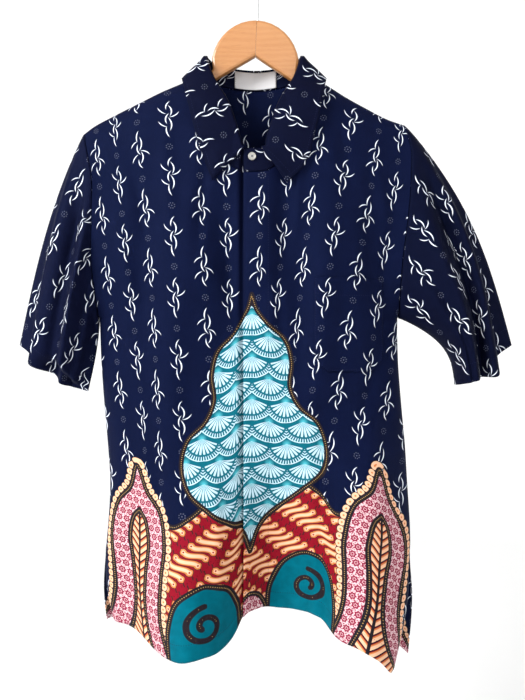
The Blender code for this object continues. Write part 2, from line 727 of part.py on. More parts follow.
def make_buttons(paint):
    """Neck button on the stand's tab, and the rest between the overlap and the underlap."""
    lifted = COLLAR_CLOTH / 2 + BUTTON_CLEAR + BUTTON_HEIGHT / 2
    angle = 180 + math.degrees(math.asin((NECK_X - NECK_BUTTON["x"]) / NECK_HALF))
    foot, top = (stand_point(np.array([angle]), share)[0] for share in (0.0, 1.0))
    share = (NECK_BUTTON["drop"] + foot[2]) / (foot[2] - top[2])
    middle = Vector(foot + (top - foot) * share)
    up = Vector(top - foot).normalized()
    facing = Vector((0.0, -up.z, up.y)).normalized()
    button("button_1", middle + facing * lifted, facing, paint)
    for number in range(FLY_BUTTONS):
        drop = FLY_FIRST_DROP + FLY_STEP * number
        facing = front_facing(FLY_BUTTON_X, drop)
        y = float(body_y(FLY_BUTTON_X, drop, "front"))
        centre = Vector((FLY_BUTTON_X, y, -drop)) - facing * abs(facing.y) * UNDERLAP_DEPTH / 2
        button(f"button_{number + 2}", centre, facing, paint)


# ---------------------------------------------------------------- hanger
def arm_outline():
    """Outline of the right half of the wooden hanger as (across, drop), anticlockwise."""
    middle = SEAM_GAP / 2
    hump = [(middle, WOOD_TOP_DROP)]
    for degrees in range(80, 9, -10):
        turn = math.radians(degrees)
        rise = HUMP_HEIGHT * (1 - math.sin(turn))
        hump.append((HUMP_HALF_WIDTH * math.cos(turn), WOOD_TOP_DROP + rise))
    tip_top = ARM_TOP_START[1] + (ARM_TIP_X - ARM_TOP_START[0]) * ARM_SLOPE
    radius = ARM_TIP_HEIGHT / 2
    tip = []
    for degrees in range(60, -121, -30):
        turn = math.radians(degrees)
        tip.append((ARM_TIP_X + radius * math.cos(turn), tip_top + radius - radius * math.sin(turn)))
    notch = [
        (NOTCH_END_X, NOTCH_DROP + NOTCH_SLOPE * NOTCH_END_X),
        (middle, NOTCH_DROP),
    ]
    return hump + [*NARROWS, ARM_TOP_START] + tip + notch


def hook_hole():
    """Cutter for the hole that the wire is screwed into."""
    shape = bmesh.new()
    length = HOLE_DROP - WOOD_TOP_DROP + HOLE_OVERRUN
    bmesh.ops.create_cone(
        shape,
        cap_ends=True,
        segments=12,
        radius1=HOLE_RADIUS,
        radius2=HOLE_RADIUS,
        depth=length,
        matrix=Matrix.Translation((0, 0, length / 2 - HOLE_DROP)),
    )
    mesh = bpy.data.meshes.new("hook_hole")
    shape.to_mesh(mesh)
    shape.free()
    made = bpy.data.objects.new("hook_hole", mesh)
    bpy.context.scene.collection.objects.link(made)
    made.hide_render = True
    made.display_type = "WIRE"
    return made


def make_arm(name, side, cutter, paint):
    """Half of the wooden hanger: its outline extruded to the board's thickness, edges rounded."""
    swing = Matrix.Rotation(HANGER_TILT, 4, "Y")
    pivot = Matrix.Translation((0, 0, -TILT_DROP))
    shape = bmesh.new()
    corners = [shape.verts.new((side * x, -BOARD / 2, -drop)) for x, drop in arm_outline()]
    face = shape.faces.new(corners)
    pushed = bmesh.ops.extrude_face_region(shape, geom=[face])
    moved = [item for item in pushed["geom"] if isinstance(item, bmesh.types.BMVert)]
    bmesh.ops.translate(shape, verts=moved, vec=(0, BOARD, 0))
    bmesh.ops.recalc_face_normals(shape, faces=shape.faces)
    glued = [e for e in shape.edges if all(abs(v.co.x) < SEAM_GAP for v in e.verts)]
    outer = [
        e
        for e in shape.edges
        if e not in glued and abs(e.verts[0].co.y - e.verts[1].co.y) < SEAM_GAP
    ]
    bmesh.ops.bevel(
        shape,
        geom=outer,
        offset=BOARD_EDGE,
        offset_type="OFFSET",
        segments=2,
        profile=0.5,
        affect="EDGES",
        clamp_overlap=True,
    )
    bmesh.ops.transform(shape, matrix=pivot @ swing @ pivot.inverted(), verts=shape.verts)
    mesh = bpy.data.meshes.new(name)
    shape.to_mesh(mesh)
    shape.free()
    made = new_object(name, mesh, paint)
    cut = made.modifiers.new("Hook hole", "BOOLEAN")
    cut.operation = "DIFFERENCE"
    cut.solver = "EXACT"
    cut.object = cutter
    return made


def hook_path():
    """Middle line of the wire: up the stem, a short bend aside, then round the hook."""
    centre_drop = HOOK_RADIUS - WIRE_RADIUS
    reach = STEM_TOP_DROP - centre_drop
    bend = (reach**2 - HOOK_RADIUS**2) / (2 * HOOK_RADIUS)
    points = []
    for step in range(STEM_STEPS):
        points.append((0.0, -WIRE_FOOT_DROP + (WIRE_FOOT_DROP - STEM_TOP_DROP) * step / STEM_STEPS))
    meet = math.atan2(reach, -bend)
    for step in range(BEND_STEPS):
        turn = math.pi - (math.pi - meet) * step / BEND_STEPS
        points.append((bend + bend * math.cos(turn), -STEM_TOP_DROP + bend * math.sin(turn)))
    start_turn = math.atan2(-reach, bend)
    end_turn = math.radians(HOOK_END_DEGREES)
    steps = round((end_turn - start_turn) * HOOK_RADIUS / WIRE_STEP)
    for step in range(steps + 1):
        turn = start_turn + (end_turn - start_turn) * step / steps
        points.append((HOOK_RADIUS * math.cos(turn), -centre_drop + HOOK_RADIUS * math.sin(turn)))
    return points


def make_hook(paint):
    """Bent wire hook: a round wire along hook_path, its tip rounded."""
    path = [Vector((x, 0.0, z)) for x, z in hook_path()]
    shape = bmesh.new()
    rings = []
    tip_way = (path[-1] - path[-2]).normalized()
    path = path + [path[-1] + tip_way * WIRE_RADIUS * 0.7]
    for index, point in enumerate(path):
        before = path[max(index - 1, 0)]
        after = path[min(index + 1, len(path) - 1)]
        way = (after - before).normalized()
        aside = Vector((0.0, 1.0, 0.0))
        inward = way.cross(aside)
        radius = WIRE_RADIUS * (0.6 if index == len(path) - 1 else 1.0)
        ring = []
        for side in range(WIRE_SIDES):
            turn = 2 * math.pi * side / WIRE_SIDES
            ring.append(shape.verts.new(point + radius * (aside * math.cos(turn) + inward * math.sin(turn))))
        rings.append(ring)
    for lower, upper in zip(rings, rings[1:]):
        for side in range(WIRE_SIDES):
            across = (side + 1) % WIRE_SIDES
            shape.faces.new((lower[side], lower[across], upper[across], upper[side]))
    shape.faces.new(rings[0])
    shape.faces.new(rings[-1])
    bmesh.ops.recalc_face_normals(shape, faces=shape.faces)
    mesh = bpy.data.meshes.new("hanger_hook")
    shape.to_mesh(mesh)
    shape.free()
    return new_object("hanger_hook", mesh, paint)


# ---------------------------------------------------------------- the whole part
def main():
    for old in list(bpy.data.objects):
        bpy.data.objects.remove(old, do_unlink=True)
    cotton = material("batik_cotton", NAVY, 0.85)
    wall("front_right", front_right_grid(), CLOTH, cotton)
    wall("front_left", front_left_grid(), CLOTH, cotton)
    wall("back", back_grid(), CLOTH, cotton)
    for name, sizes in SLEEVES.items():
        wall(name, sleeve_grid(**sizes), CLOTH, cotton, round_about=True)
    wall("collar_stand", stand_grid(), COLLAR_CLOTH, cotton)
    wall("collar_fall", fall_grid(), COLLAR_CLOTH, cotton)
    wall("chest_pocket", pocket_grid(), CLOTH, cotton)
    wall("neck_label", label_grid(), LABEL_CLOTH, material("label_white", WHITE, 0.8))
    make_buttons(material("button_shell", SHELL, 0.3))
    wood = material("hanger_wood", WOOD, 0.45)
    cutter = hook_hole()
    make_arm("hanger_arm_right", -1, cutter, wood)
    make_arm("hanger_arm_left", 1, cutter, wood)
    make_hook(material("hook_steel", STEEL, 0.35, 1.0))


main()
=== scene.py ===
"""Looks of the short-sleeved batik shirt on its wooden hanger.

Metres, +Z up, the shirt's front faces -Y, the origin is the inner top of the hook.
A "drop" is a distance below the origin, so z = -drop. Left and right are as seen from
the front, and names of pieces go by the wearer. Every cloth piece is a surface
y = f(x, drop) or a ring carried from seam to hem, on the same sizes as its solid, with
the smaller creases added. The print is drawn by the cloth's own coordinates: one column
of sprigs is 1 across and one sprig is 1 down, and the border's outlines are distances.
"""
import math

import bpy
import numpy as np
from bpy.props import FloatProperty, FloatVectorProperty, PointerProperty
from bpy.types import Operator, Panel, PropertyGroup
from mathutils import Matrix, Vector


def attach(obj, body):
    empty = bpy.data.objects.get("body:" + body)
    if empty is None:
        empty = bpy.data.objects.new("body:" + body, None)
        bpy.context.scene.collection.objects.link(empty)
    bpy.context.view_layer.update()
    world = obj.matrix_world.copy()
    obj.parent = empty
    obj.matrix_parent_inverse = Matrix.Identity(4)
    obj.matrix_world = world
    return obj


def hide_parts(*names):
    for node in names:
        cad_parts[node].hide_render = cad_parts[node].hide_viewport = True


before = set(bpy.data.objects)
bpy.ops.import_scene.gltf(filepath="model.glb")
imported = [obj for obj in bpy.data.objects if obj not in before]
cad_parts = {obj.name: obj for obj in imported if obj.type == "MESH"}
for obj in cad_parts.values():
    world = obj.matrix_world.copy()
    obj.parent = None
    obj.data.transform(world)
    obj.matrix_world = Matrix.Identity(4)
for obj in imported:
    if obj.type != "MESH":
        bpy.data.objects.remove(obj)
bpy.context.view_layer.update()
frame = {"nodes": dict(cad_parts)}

bl_info = {
    "name": "Batik shirt on a hanger",
    "version": (1, 0, 0),
    "blender": (4, 5, 0),
    "location": "View3D > Sidebar > Shirt",
    "description": "Dresses the shirt and its hanger: cloth, print, sewing, buttons, wood and wire",
    "category": "Object",
}


# ---------------------------------------------------------------- driving sizes
CLOTH = 0.0012  # wall of the shirt's cotton
COLLAR_CLOTH = 0.0016  # two plies and interlining
LABEL_CLOTH = 0.0010
SEAM_GAP = 0.0003
SEAM_HALF_GAP = 0.00038  # each side of a butted seam, so its inner corners stay SEAM_GAP apart

NECK_X = -0.005  # middle of the neck
NECK_HALF = 0.0735
NECK_POINT_DROP = 0.1445  # where the shoulder seam meets the collar
NECKLINES = {"front": (0.285, 3), "back": (0.1575, 2)}  # drop at the middle, and the curve's power
NECK_BLEND = 0.006  # width over which the rows change beside the neck point
NECK_CROWDING = 1.25  # how much closer a front's columns lie near the neck point
NECK_RISE = 0.5  # slope of the shoulder line carried on over the open neck

PIT_DROP = 0.4735
RIDGE_LENGTH = 0.10  # how far below the shoulder the body reaches its fullness
SIDE_POWER = 3.0  # how flat the front and back lie between the sides
ARM_POWER = 9.0  # how close to the sides the armholes open
ARM_OPENNESS = 0.42  # how far the armhole stands open, as a share of the body's fullness squared
ARM_RISE = 0.17  # height over which it opens above the armpit
FOLD_START = 0.5  # share of a fold's length over which it grows
FOLD_END = 0.35  # and over which it fades out

INNER_X = {"left": 0.013, "right": -0.018}  # inner edges of the fronts; the right one lies on top
UNDERLAP_START_X = -0.0265  # where the left one starts to dip behind
UNDERLAP_END_X = -0.0195
UNDERLAP_DEPTH = 0.0062
UNDERLAP_GROOVE = 0.0035  # how much deeper it lies right beside the edge on top
GROOVE_WIDTH = 0.0022
GROOVE_END_DROP = 0.47
GROOVE_FADE = 0.05

ROWS_ABOVE_PIT = 105
ROWS_BELOW_PIT = 135
COLUMNS_SIDE = 58
COLUMNS_NECK_FRONT = 42
COLUMNS_NECK_BACK = 64

PLAIN = ("angle", "turn", "column", "lean", "share")


def table(columns, *rows):
    """Rows of numbers under named columns, as a dictionary of arrays.

    Lengths are given in millimetres and kept in metres. PLAIN columns stay as given.
    """
    arrays = (np.array(values, dtype=float) for values in zip(*rows))
    return {
        name: array if name.startswith(PLAIN) else array / 1000
        for name, array in zip(columns.split(), arrays)
    }


# The body's sides, one row for each height. Above the armpit they are the armhole
# seams. "front" and "back" are the fullness before and behind the side seams.
SECTIONS = table(
    "drop  x_left  x_right  y_left  y_right  front  back",
    (212, -236.5, 197.5, 0, 0, 46, 36),
    (245, -229, 204.5, 0, 0, 46, 37),
    (285, -220.5, 204, 0, 0, 46, 38),
    (335, -220, 200, 0, 0, 46, 38),
    (394, -220.5, 193, 0, 0, 46, 38),
    (473.5, -214.3, 189.7, 2, 2, 46, 38),
    (530, -212.5, 190.5, 4, 2, 46, 38),
    (590, -208.5, 194.5, 5, 0, 46, 38),
    (650, -203.5, 199.5, 6, -2, 46, 38),
    (690, -201, 201.5, 7, -4, 46, 38),
    (750, -203.5, 204.5, 8, -8, 47, 36),
    (800, -208.5, 205.5, 9, -12, 48, 34),
    (840, -212.5, 210.5, 10, -16, 48, 33),
    (930, -210, 212.5, 12, -26, 48, 30),
)
# The shoulder line over the hanger's arms, from one armhole to the other.
SHOULDERS = table(
    "x  drop",
    (-236.5, 225), (-222.5, 215), (-192.5, 198.8), (-160, 182.5), (-127.5, 166.5), (-101.5, 155.5),
    (-78.5, 144.5), (68.5, 144.5), (94.5, 159), (119, 174.3), (147.5, 190), (176, 204.5),
    (197.5, 212),
)
# Slits at the foot of the side seams: how far each panel's corner has moved in and back.
SLITS = {
    "left": {"drop": 0.786, "front_in": 0.023, "back_in": 0.002, "front_y": -0.012, "back_y": 0.016},
    "right": {"drop": 0.772, "front_in": 0.026, "back_in": 0.008, "front_y": -0.022, "back_y": 0.004},
}
SLIT_LENGTH = 0.115

# Soft ridges (height above 0) and troughs (below 0) that run down a panel: the folds
# that the solids have too, then the smaller creases.
FOLD_COLUMNS = "x_top  drop_top  x_foot  drop_foot  width  height"
FOLDS = {
    "front": table(
        FOLD_COLUMNS,
        (-100, 240, -118, 700, 26, 10),
        (-150, 230, -160, 560, 20, -7),
        (-62, 270, -30, 480, 18, -8),
        (12, 280, -4, 470, 16, 5),
        (40, 190, 30, 460, 16, -9),
        (105, 180, 72, 690, 26, 10),
        (155, 250, 150, 480, 18, -7),
        (140, 520, 165, 800, 22, 8),
        (-85, 560, -92, 1260, 56, 58),
        (-165, 620, -175, 1200, 20, -14),
        (30, 560, 30, 1260, 52, -60),
        (140, 560, 146, 1260, 42, 48),
        (84, 520, 90, 1150, 10, -12),
        (-78, 200, -74, 640, 24, 5),
        (-36, 250, -34, 600, 14, -5),
        (26, 300, 16, 520, 12, 4),
        (60, 210, 52, 620, 16, -6),
        (138, 200, 134, 620, 24, 8),
        (182, 240, 176, 560, 16, -5),
        (-170, 240, -168, 620, 22, 4),
        (-176, 225, -140, 400, 8, -4),
        (-196, 300, -150, 520, 10, 4),
        (-205, 400, -170, 560, 7, -3),
        (-128, 190, -110, 380, 9, 3.5),
        (-60, 200, -82, 420, 8, -3.4),
        (-48, 400, -20, 640, 9, 3),
        (20, 350, 36, 560, 8, -3),
        (60, 190, 48, 400, 7, 3.4),
        (100, 170, 128, 330, 8, -3.6),
        (150, 215, 176, 380, 8, 3.4),
        (184, 300, 160, 480, 8, -3.4),
        (172, 470, 130, 640, 10, -3.6),
        (-150, 560, -120, 760, 10, -3.6),
        (-60, 620, -44, 860, 9, 4),
        (64, 700, 70, 1000, 8, -5),
        (176, 640, 186, 1000, 10, -5),
        (-186, 700, -196, 1000, 9, 4),
    ),
    "back": table(
        FOLD_COLUMNS,
        (-130, 230, -140, 720, 26, 8),
        (-70, 300, -50, 640, 22, -8),
        (0, 240, 6, 800, 28, 7),
        (68, 280, 58, 620, 20, -8),
        (118, 220, 130, 740, 26, 8),
        (-118, 620, -124, 1240, 36, 16),
        (-40, 600, -36, 1240, 34, -12),
        (40, 620, 44, 1240, 34, 14),
        (122, 600, 126, 1240, 34, -12),
        (-176, 230, -150, 420, 9, -4),
        (-196, 330, -120, 520, 10, 3.6),
        (-100, 180, -88, 360, 9, 3.4),
        (-30, 200, -40, 420, 9, -3.4),
        (34, 230, 26, 520, 9, 3.2),
        (92, 180, 100, 380, 9, -3.6),
        (150, 220, 140, 440, 9, 3.8),
        (178, 340, 120, 540, 9, -3.6),
        (-164, 560, -158, 860, 10, 4.4),
        (-80, 640, -84, 1000, 10, -4.4),
        (0, 600, 4, 900, 10, 4),
        (84, 660, 82, 1000, 10, -4.4),
        (166, 600, 170, 940, 10, 4.4),
    ),
}
HEMS = {
    "front": table(
        "x  drop",
        (-209, 881), (-184, 884), (-146, 894), (-110, 896), (-69, 892), (-45, 889), (-31, 880),
        (-18, 862), (0, 859), (30, 864), (62, 862), (83, 865), (98, 876), (130, 882), (156, 894),
        (186, 918),
    ),
    "back": table(
        "x  drop",
        (-212, 892), (-130, 884), (-30, 874), (60, 874), (140, 892), (206, 926),
    ),
}

# The collar's stand: from the neck seam up to the fold line, by the angle round the
# neck from the middle of the back (0) past the shoulder (90) to the front (180).
STAND = table(
    "angle  inward  back  rise",
    (0, 0, 3, 28.5),
    (45, 1, 2, 27),
    (90, 9.5, 0, 25),
    (101, 10, 0, 21.5),
    (111, 15, 1, 13),
    (120, 26, 1, 8.5),
    (135, 27, 2, 16),
    (150, 19, 3, 25),
    (165, 4, 3, 30),
    (180, 0, 3, 31),
    (200, 0, 3, 31),
)
STAND_CLEAR = 0.0016  # extra gap where the stand rises square from the shoulder
STAND_CLEAR_ANGLE = 22  # how far round from the shoulder that gap fades
# The collar's outer edge by the same angle. The last row is a leaf's point, and each
# leaf's angles are scaled so that its point is at its own end of the fold.
FALL_END_LEFT = 166
FALL_END_RIGHT = 171
FALL_END_SPACE = 1  # no column lies nearer to a leaf's end than this
FALL_EDGE = table(
    "angle  x_left  drop_left  x_right  drop_right",
    (0, -5, 176, -5, 176),
    (45, -68, 171, 58, 172),
    (72, -93, 152.5, 84, 156),
    (90, -101.4, 148, 92, 150.5),
    (115, -95, 177, 86, 180),
    (140, -80, 235, 75, 233),
    (155, -68, 272, 62, 276),
    (166, -58.2, 297.3, 38.2, 299.8),
)
FALL_ROWS = 24
FALL_CLEAR = 0.0044  # how far the fall lies off the body
FALL_HOLD = 8  # degrees beside the shoulder over which it starts to keep that clear
FALL_ROLL = 0.0042  # half the thickness of the rolled fold
FOLD_CLEAR = 0.0009  # between the fall and the top of the stand
FALL_BELLY = 0.003  # how far a leaf bulges between its fold and its edge
FALL_LIFT = 0.0004  # the first row under the fold, so the rolled fold stays round
STAND_SHARES = np.linspace(0.0, 1.0, 13)

# Folds and hems of the sleeves, by turns round the sleeve: 0 outer fold, 0.25 front,
# 0.5 underarm. A fold's height is a length, its width a share of the turn.
TURN_COLUMNS = "turn_top  turn_foot  turn_width  height"
CUFF_COLUMNS = "turn  x  y  drop"
SLEEVE_FOLDS = table(
    TURN_COLUMNS,
    (0.13, 0.24, 0.05, -11),
    (0.33, 0.38, 0.05, 6),
    (0.66, 0.72, 0.05, -8),
    (0.84, 0.88, 0.05, 5),
)
SLEEVES = {
    "sleeve_right": {
        "side": -1,
        "bow_outer": 0.011,
        "bow_inner": -0.003,
        "tuck": 0.020,
        "cuff": table(
            CUFF_COLUMNS,
            (0, -325, 6, 510.5),
            (0.06, -308.5, -4, 522.5),
            (0.12, -307, -14, 536),
            (0.22, -278, -20, 550.3),
            (0.3, -267, -21, 562),
            (0.42, -248, -16, 568.5),
            (0.5, -231, 0, 573),
            (0.6, -246, 18, 564),
            (0.75, -280, 24, 543),
            (0.92, -314, 17, 518),
        ),
        "creases": table(
            TURN_COLUMNS,
            (0.05, 0.09, 0.018, 3),
            (0.17, 0.2, 0.02, -3.5),
            (0.24, 0.3, 0.022, 4.5),
            (0.26, 0.28, 0.05, 6),
            (0.33, 0.37, 0.03, -11),
            (0.42, 0.44, 0.05, -11),
            (0.6, 0.64, 0.022, -4),
            (0.78, 0.8, 0.026, 4),
        ),
    },
    "sleeve_left": {
        "side": 1,
        "bow_outer": 0.027,
        "bow_inner": 0.027,
        "tuck": 0.0,
        "cuff": table(
            CUFF_COLUMNS,
            (0, 346.7, 6, 511),
            (0.06, 324, -4, 527.5),
            (0.12, 325.5, -14, 547),
            (0.25, 303, -21, 554),
            (0.42, 278.5, -16, 561.5),
            (0.5, 269, 0, 564),
            (0.6, 279, 18, 556),
            (0.75, 306, 24, 539),
            (0.92, 337, 17, 518),
        ),
        "creases": table(
            TURN_COLUMNS,
            (0.14, 0.24, 0.032, -12),
            (0.225, 0.32, 0.026, 6),
            (0.3, 0.37, 0.018, -4),
            (0.35, 0.42, 0.08, 5),
            (0.05, 0.09, 0.06, -4),
            (0.62, 0.64, 0.022, -4),
            (0.8, 0.82, 0.026, 4),
        ),
    },
}
SLEEVE_ROWS = 90
SLEEVE_CLEAR = 0.0008  # leaves SEAM_GAP between walls that meet at a slant
SLEEVE_PIT_CLEAR = 0.0014
SLEEVE_BELLY = 0.010
SLEEVE_SWELL = 0.8  # below 1, the bow and the belly are fullest above the sleeve's middle
TUCK_START = 0.84  # how far down the sleeve the tucked cuff turns under
TUCK_SLANT = 0.10  # how much further down it starts at both its ends
TUCK_SOFT = 0.07
TUCK_TURN = 0.30
TUCK_REACH = 0.19

POCKET = {"x_left": 0.074, "x_right": 0.166, "drop_top": 0.423, "drop_foot": 0.545, "corner": 0.016}
POCKET_CELLS = 64
POCKET_CLEAR = 0.0009  # leaves SEAM_GAP where the cloth below slopes
LABEL = {"x_left": -0.0325, "x_right": 0.0265, "foot": 0.05, "top": 0.94}
LABEL_CLEAR = 0.0007  # leaves SEAM_GAP where the stand curves
LABEL_COLUMNS = 40
LABEL_ROWS = 18

BUTTON_RADIUS = 0.0053
BUTTON_HEIGHT = 0.0020
FLY_BUTTONS = 6
BUTTON_TURNS = 28
# Profile as shares of the radius and the height.
BUTTON_PROFILE = table(
    "share_out  share_up",
    (0.7, 0), (0.9, 0.1), (1, 0.42), (0.98, 0.78), (0.9, 1), (0.8, 0.98), (0.72, 0.76), (0.6, 0.7),
    (0.3, 0.7),
)
BUTTON_FACE = 0.70  # height of the dished face, as a share of the button's thickness
BUTTON_HOLE = 0.0010  # from the middle to each hole, across and up
HOLE_RADIUS = 0.00055

WIRE_RADIUS = 0.0015
WIRE_FOOT_DROP = 0.088
STEM_TOP_DROP = 0.040
HOOK_RADIUS = 0.018  # to the wire's middle
HOOK_END_DEGREES = 212
WIRE_STEP = 0.005
STEM_STEPS = 9
BEND_STEPS = 5
WIRE_POINTS = 150
WIRE_TURNS = 20
ARM_GRAIN = math.radians(26)  # slope of the arms, which the grain follows

ARMS = ["hanger_arm_right", "hanger_arm_left"]
FRONTS = ["front_right", "front_left"]


def smooth_line(x, xs, ys):
    """Smooth line through the points (xs, ys), read at x, level past both ends."""
    slopes = np.gradient(ys, xs)
    x = np.asarray(x, dtype=float)
    low = np.clip(np.searchsorted(xs, x, side="right") - 1, 0, len(xs) - 2)
    span = xs[low + 1] - xs[low]
    t = np.clip((x - xs[low]) / span, 0.0, 1.0)
    start = (1 + 2 * t) * (1 - t) ** 2 * ys[low] + t * (1 - t) ** 2 * span * slopes[low]
    end = t * t * (3 - 2 * t) * ys[low + 1] - t * t * (1 - t) * span * slopes[low + 1]
    return start + end


def ease(t):
    """0 to 1 with level ends."""
    t = np.clip(t, 0.0, 1.0)
    return t * t * (3 - 2 * t)


def bell(t):
    """1 in the middle, falling away evenly to both sides."""
    return np.exp(-(t**2))


def unit(vectors):
    """The same directions, of length 1."""
    return vectors / np.maximum(np.linalg.norm(vectors, axis=-1, keepdims=True), 1e-9)


def pair(first, second):
    """Two arrays as the last axis of one."""
    return np.stack(np.broadcast_arrays(first, second), -1)


def place(x, y, drop):
    """Points from arrays across, back and down."""
    return np.stack(np.broadcast_arrays(x, y, -np.asarray(drop)), axis=-1)


def lengths_along(points, axis=0):
    """Running length along a line, or along a grid's columns (axis 0) or rows (axis 1)."""
    steps = np.linalg.norm(np.diff(points, axis=axis), axis=-1)
    return np.insert(np.cumsum(steps, axis=axis), 0, 0.0, axis=axis)


def smooth_path(corners, count):
    """Points evenly along a smooth curve through the corners."""
    along = lengths_along(corners)
    steps = np.linspace(0.0, along[-1], count)
    return np.stack([smooth_line(steps, along, values) for values in corners.T], -1)


# ---------------------------------------------------------------- body surface
def shoulder_drop(x):
    """Drop of the shoulder line, carried on upwards over the open neck."""
    over_neck = np.clip(NECK_HALF - np.abs(x - NECK_X), 0.0, None)
    return smooth_line(x, SHOULDERS["x"], SHOULDERS["drop"]) - NECK_RISE * over_neck


def neckline_drop(x, face):
    """Drop of the front's or back's neckline, which rises from its middle by a power."""
    middle, power = NECKLINES[face]
    reach = np.clip(np.abs(x - NECK_X) / NECK_HALF, 0.0, 1.0)
    return middle + (NECK_POINT_DROP - middle) * reach**power


def top_drop(x, face):
    """Drop of a panel's upper edge: its neckline inside the neck points, else the shoulder."""
    inside = np.abs(x - NECK_X) < NECK_HALF
    return np.where(inside, neckline_drop(x, face), shoulder_drop(x))


def section(drop, column):
    """A column of SECTIONS at each drop."""
    return smooth_line(drop, SECTIONS["drop"], SECTIONS[column])


def slit_share(drop, side):
    """0 above a side slit, growing to 1 at the hem."""
    return np.clip((drop - SLITS[side]["drop"]) / SLIT_LENGTH, 0.0, 1.3) ** 1.5


def side_x(drop, side, face):
    """Where a panel's side edge lies across, its slit corner drawn in."""
    inward = SLITS[side][face + "_in"] * slit_share(drop, side)
    return section(drop, "x_" + side) + (inward if side == "left" else -inward)


def side_y(drop, side, face):
    """Where it lies back, its slit corner moved."""
    return section(drop, "y_" + side) + SLITS[side][face + "_y"] * slit_share(drop, side)


def folds_height(x, drop, folds):
    """Sum of the ridges and troughs, each fading out at both its ends."""
    total = np.zeros(np.broadcast(x, drop).shape)
    for x_top, drop_top, x_foot, drop_foot, width, height in zip(*folds.values()):
        along = (drop - drop_top) / (drop_foot - drop_top)
        shape = bell((x - x_top - (x_foot - x_top) * along) / width)
        total += height * shape * ease(along / FOLD_START) * ease((1 - along) / FOLD_END)
    return total


def ripple(x, drop):
    """Slight unevenness of washed cotton: a few crossing waves of unlike lengths."""
    slow = np.sin(61 * x + 17 * drop + 1.0) * np.sin(23 * drop - 19 * x + 0.4)
    quick = np.sin(140 * x - 37 * drop) * np.sin(48 * drop + 31 * x + 2.0)
    return 0.0011 * slow + 0.0005 * quick


def body_y(x, drop, face):
    """How far forward or back the front's or back's cloth lies at (x, drop).

    The fullness grows as a rounded ridge below the shoulder line and closes as a
    rounded edge at the side seams; above the armpit the sides stay open for the arms.
    """
    left = side_x(drop, "left", face)
    right = side_x(drop, "right", face)
    across = np.clip((2 * x - left - right) / (right - left), -1.0, 1.0)
    below = np.clip(drop - shoulder_drop(x), 0.0, None)
    top = np.sqrt(1 - np.exp(-below / RIDGE_LENGTH))
    open_share = 1 - (1 - np.clip((PIT_DROP - drop) / ARM_RISE, 0.0, 1.0)) ** 2
    opening = ARM_OPENNESS * open_share * np.abs(across) ** ARM_POWER
    side = np.sqrt(np.clip(1 - np.abs(across) ** SIDE_POWER + opening, 0.0, 1.0))
    y_left = side_y(drop, "left", face)
    seam = y_left + (side_y(drop, "right", face) - y_left) * (across + 1) / 2
    fullness = section(drop, face) + folds_height(x, drop, FOLDS[face]) + ripple(x, drop)
    outwards = SEAM_HALF_GAP + fullness * top * side
    return seam - outwards if face == "front" else seam + outwards


def underlap(x, drop=0.0):
    """How far the left front dips behind the placket, with a groove down to the waist."""
    groove = UNDERLAP_GROOVE * bell((x - UNDERLAP_END_X) / GROOVE_WIDTH)
    dip = UNDERLAP_DEPTH * ease((x - UNDERLAP_START_X) / (UNDERLAP_END_X - UNDERLAP_START_X))
    return groove * ease((GROOVE_END_DROP - drop) / GROOVE_FADE) + dip


def row_drops(x_top, face):
    """Drops of a panel's rows below each column's upper end.

    They are closer together at the shoulder and the armpit, and even below the neckline.
    """
    even = np.arange(ROWS_ABOVE_PIT) / ROWS_ABOVE_PIT
    close = (1 - np.cos(math.pi * even)) / 2
    lower = np.arange(ROWS_BELOW_PIT + 1) / ROWS_BELOW_PIT
    top = top_drop(x_top, face)
    hem = smooth_line(x_top, HEMS[face]["x"], HEMS[face]["drop"])
    inside = ease((NECK_HALF - np.abs(x_top - NECK_X)) / NECK_BLEND)
    upper = close[:, None] + np.outer(even - close, inside)
    above = top + upper * (PIT_DROP - top)
    below = PIT_DROP + np.outer(lower, hem - PIT_DROP)
    return np.concatenate([above, below])


def side_steps():
    """0 to 1, closer together near 0, where a side seam rounds away."""
    return 1 - np.cos(math.pi / 2 * np.arange(COLUMNS_SIDE) / COLUMNS_SIDE)


def neck_columns_front(side):
    """Across places from a neck point to a front's inner edge, closer where the neckline is steep."""
    neck_point = NECK_X + (NECK_HALF if side == "right" else -NECK_HALF)
    steps = (np.arange(COLUMNS_NECK_FRONT + 1) / COLUMNS_NECK_FRONT) ** NECK_CROWDING
    return neck_point + (INNER_X[side] - neck_point) * steps


def neck_columns_back():
    """Across places from neck point to neck point, closer at both."""
    turns = np.linspace(-math.pi / 2, math.pi / 2, COLUMNS_NECK_BACK + 1)
    return NECK_X + NECK_HALF * np.sin(turns)


def front_columns(drops, side):
    """Across places of a front's columns, from its side seam to its inner edge."""
    inner = neck_columns_front(side)
    steps = np.concatenate([side_steps(), np.ones(len(inner))])
    fixed = np.concatenate([np.full(COLUMNS_SIDE, inner[0]), inner])
    return side_x(drops, side, "front") * (1 - steps) + fixed * steps


def back_columns(drops):
    """Across places of the back's columns, from side to side."""
    middle = neck_columns_back()
    steps = side_steps()
    none = np.zeros(len(middle) + COLUMNS_SIDE)
    left_share = np.concatenate([1 - steps, none])
    fixed = np.concatenate([middle[0] * steps, middle, middle[-1] * steps[::-1]])
    left = side_x(drops, "left", "back")
    right = side_x(drops, "right", "back")
    return left * left_share + right * left_share[::-1] + fixed


def panel(face, columns_at):
    """Grid of a front or the back: rows from its upper edge to the hem."""
    drops = row_drops(columns_at(SECTIONS["drop"][0]), face)
    x = columns_at(drops)
    return place(x, body_y(x, drops, face), drops)


def front_grid(side):
    """A front, on top of the other or with its inner edge behind the placket."""
    points = panel("front", lambda drops: front_columns(drops, side))
    if side == "left":
        points[..., 1] += underlap(points[..., 0], -points[..., 2])
    return points


def back_grid():
    """The back."""
    return panel("back", back_columns)


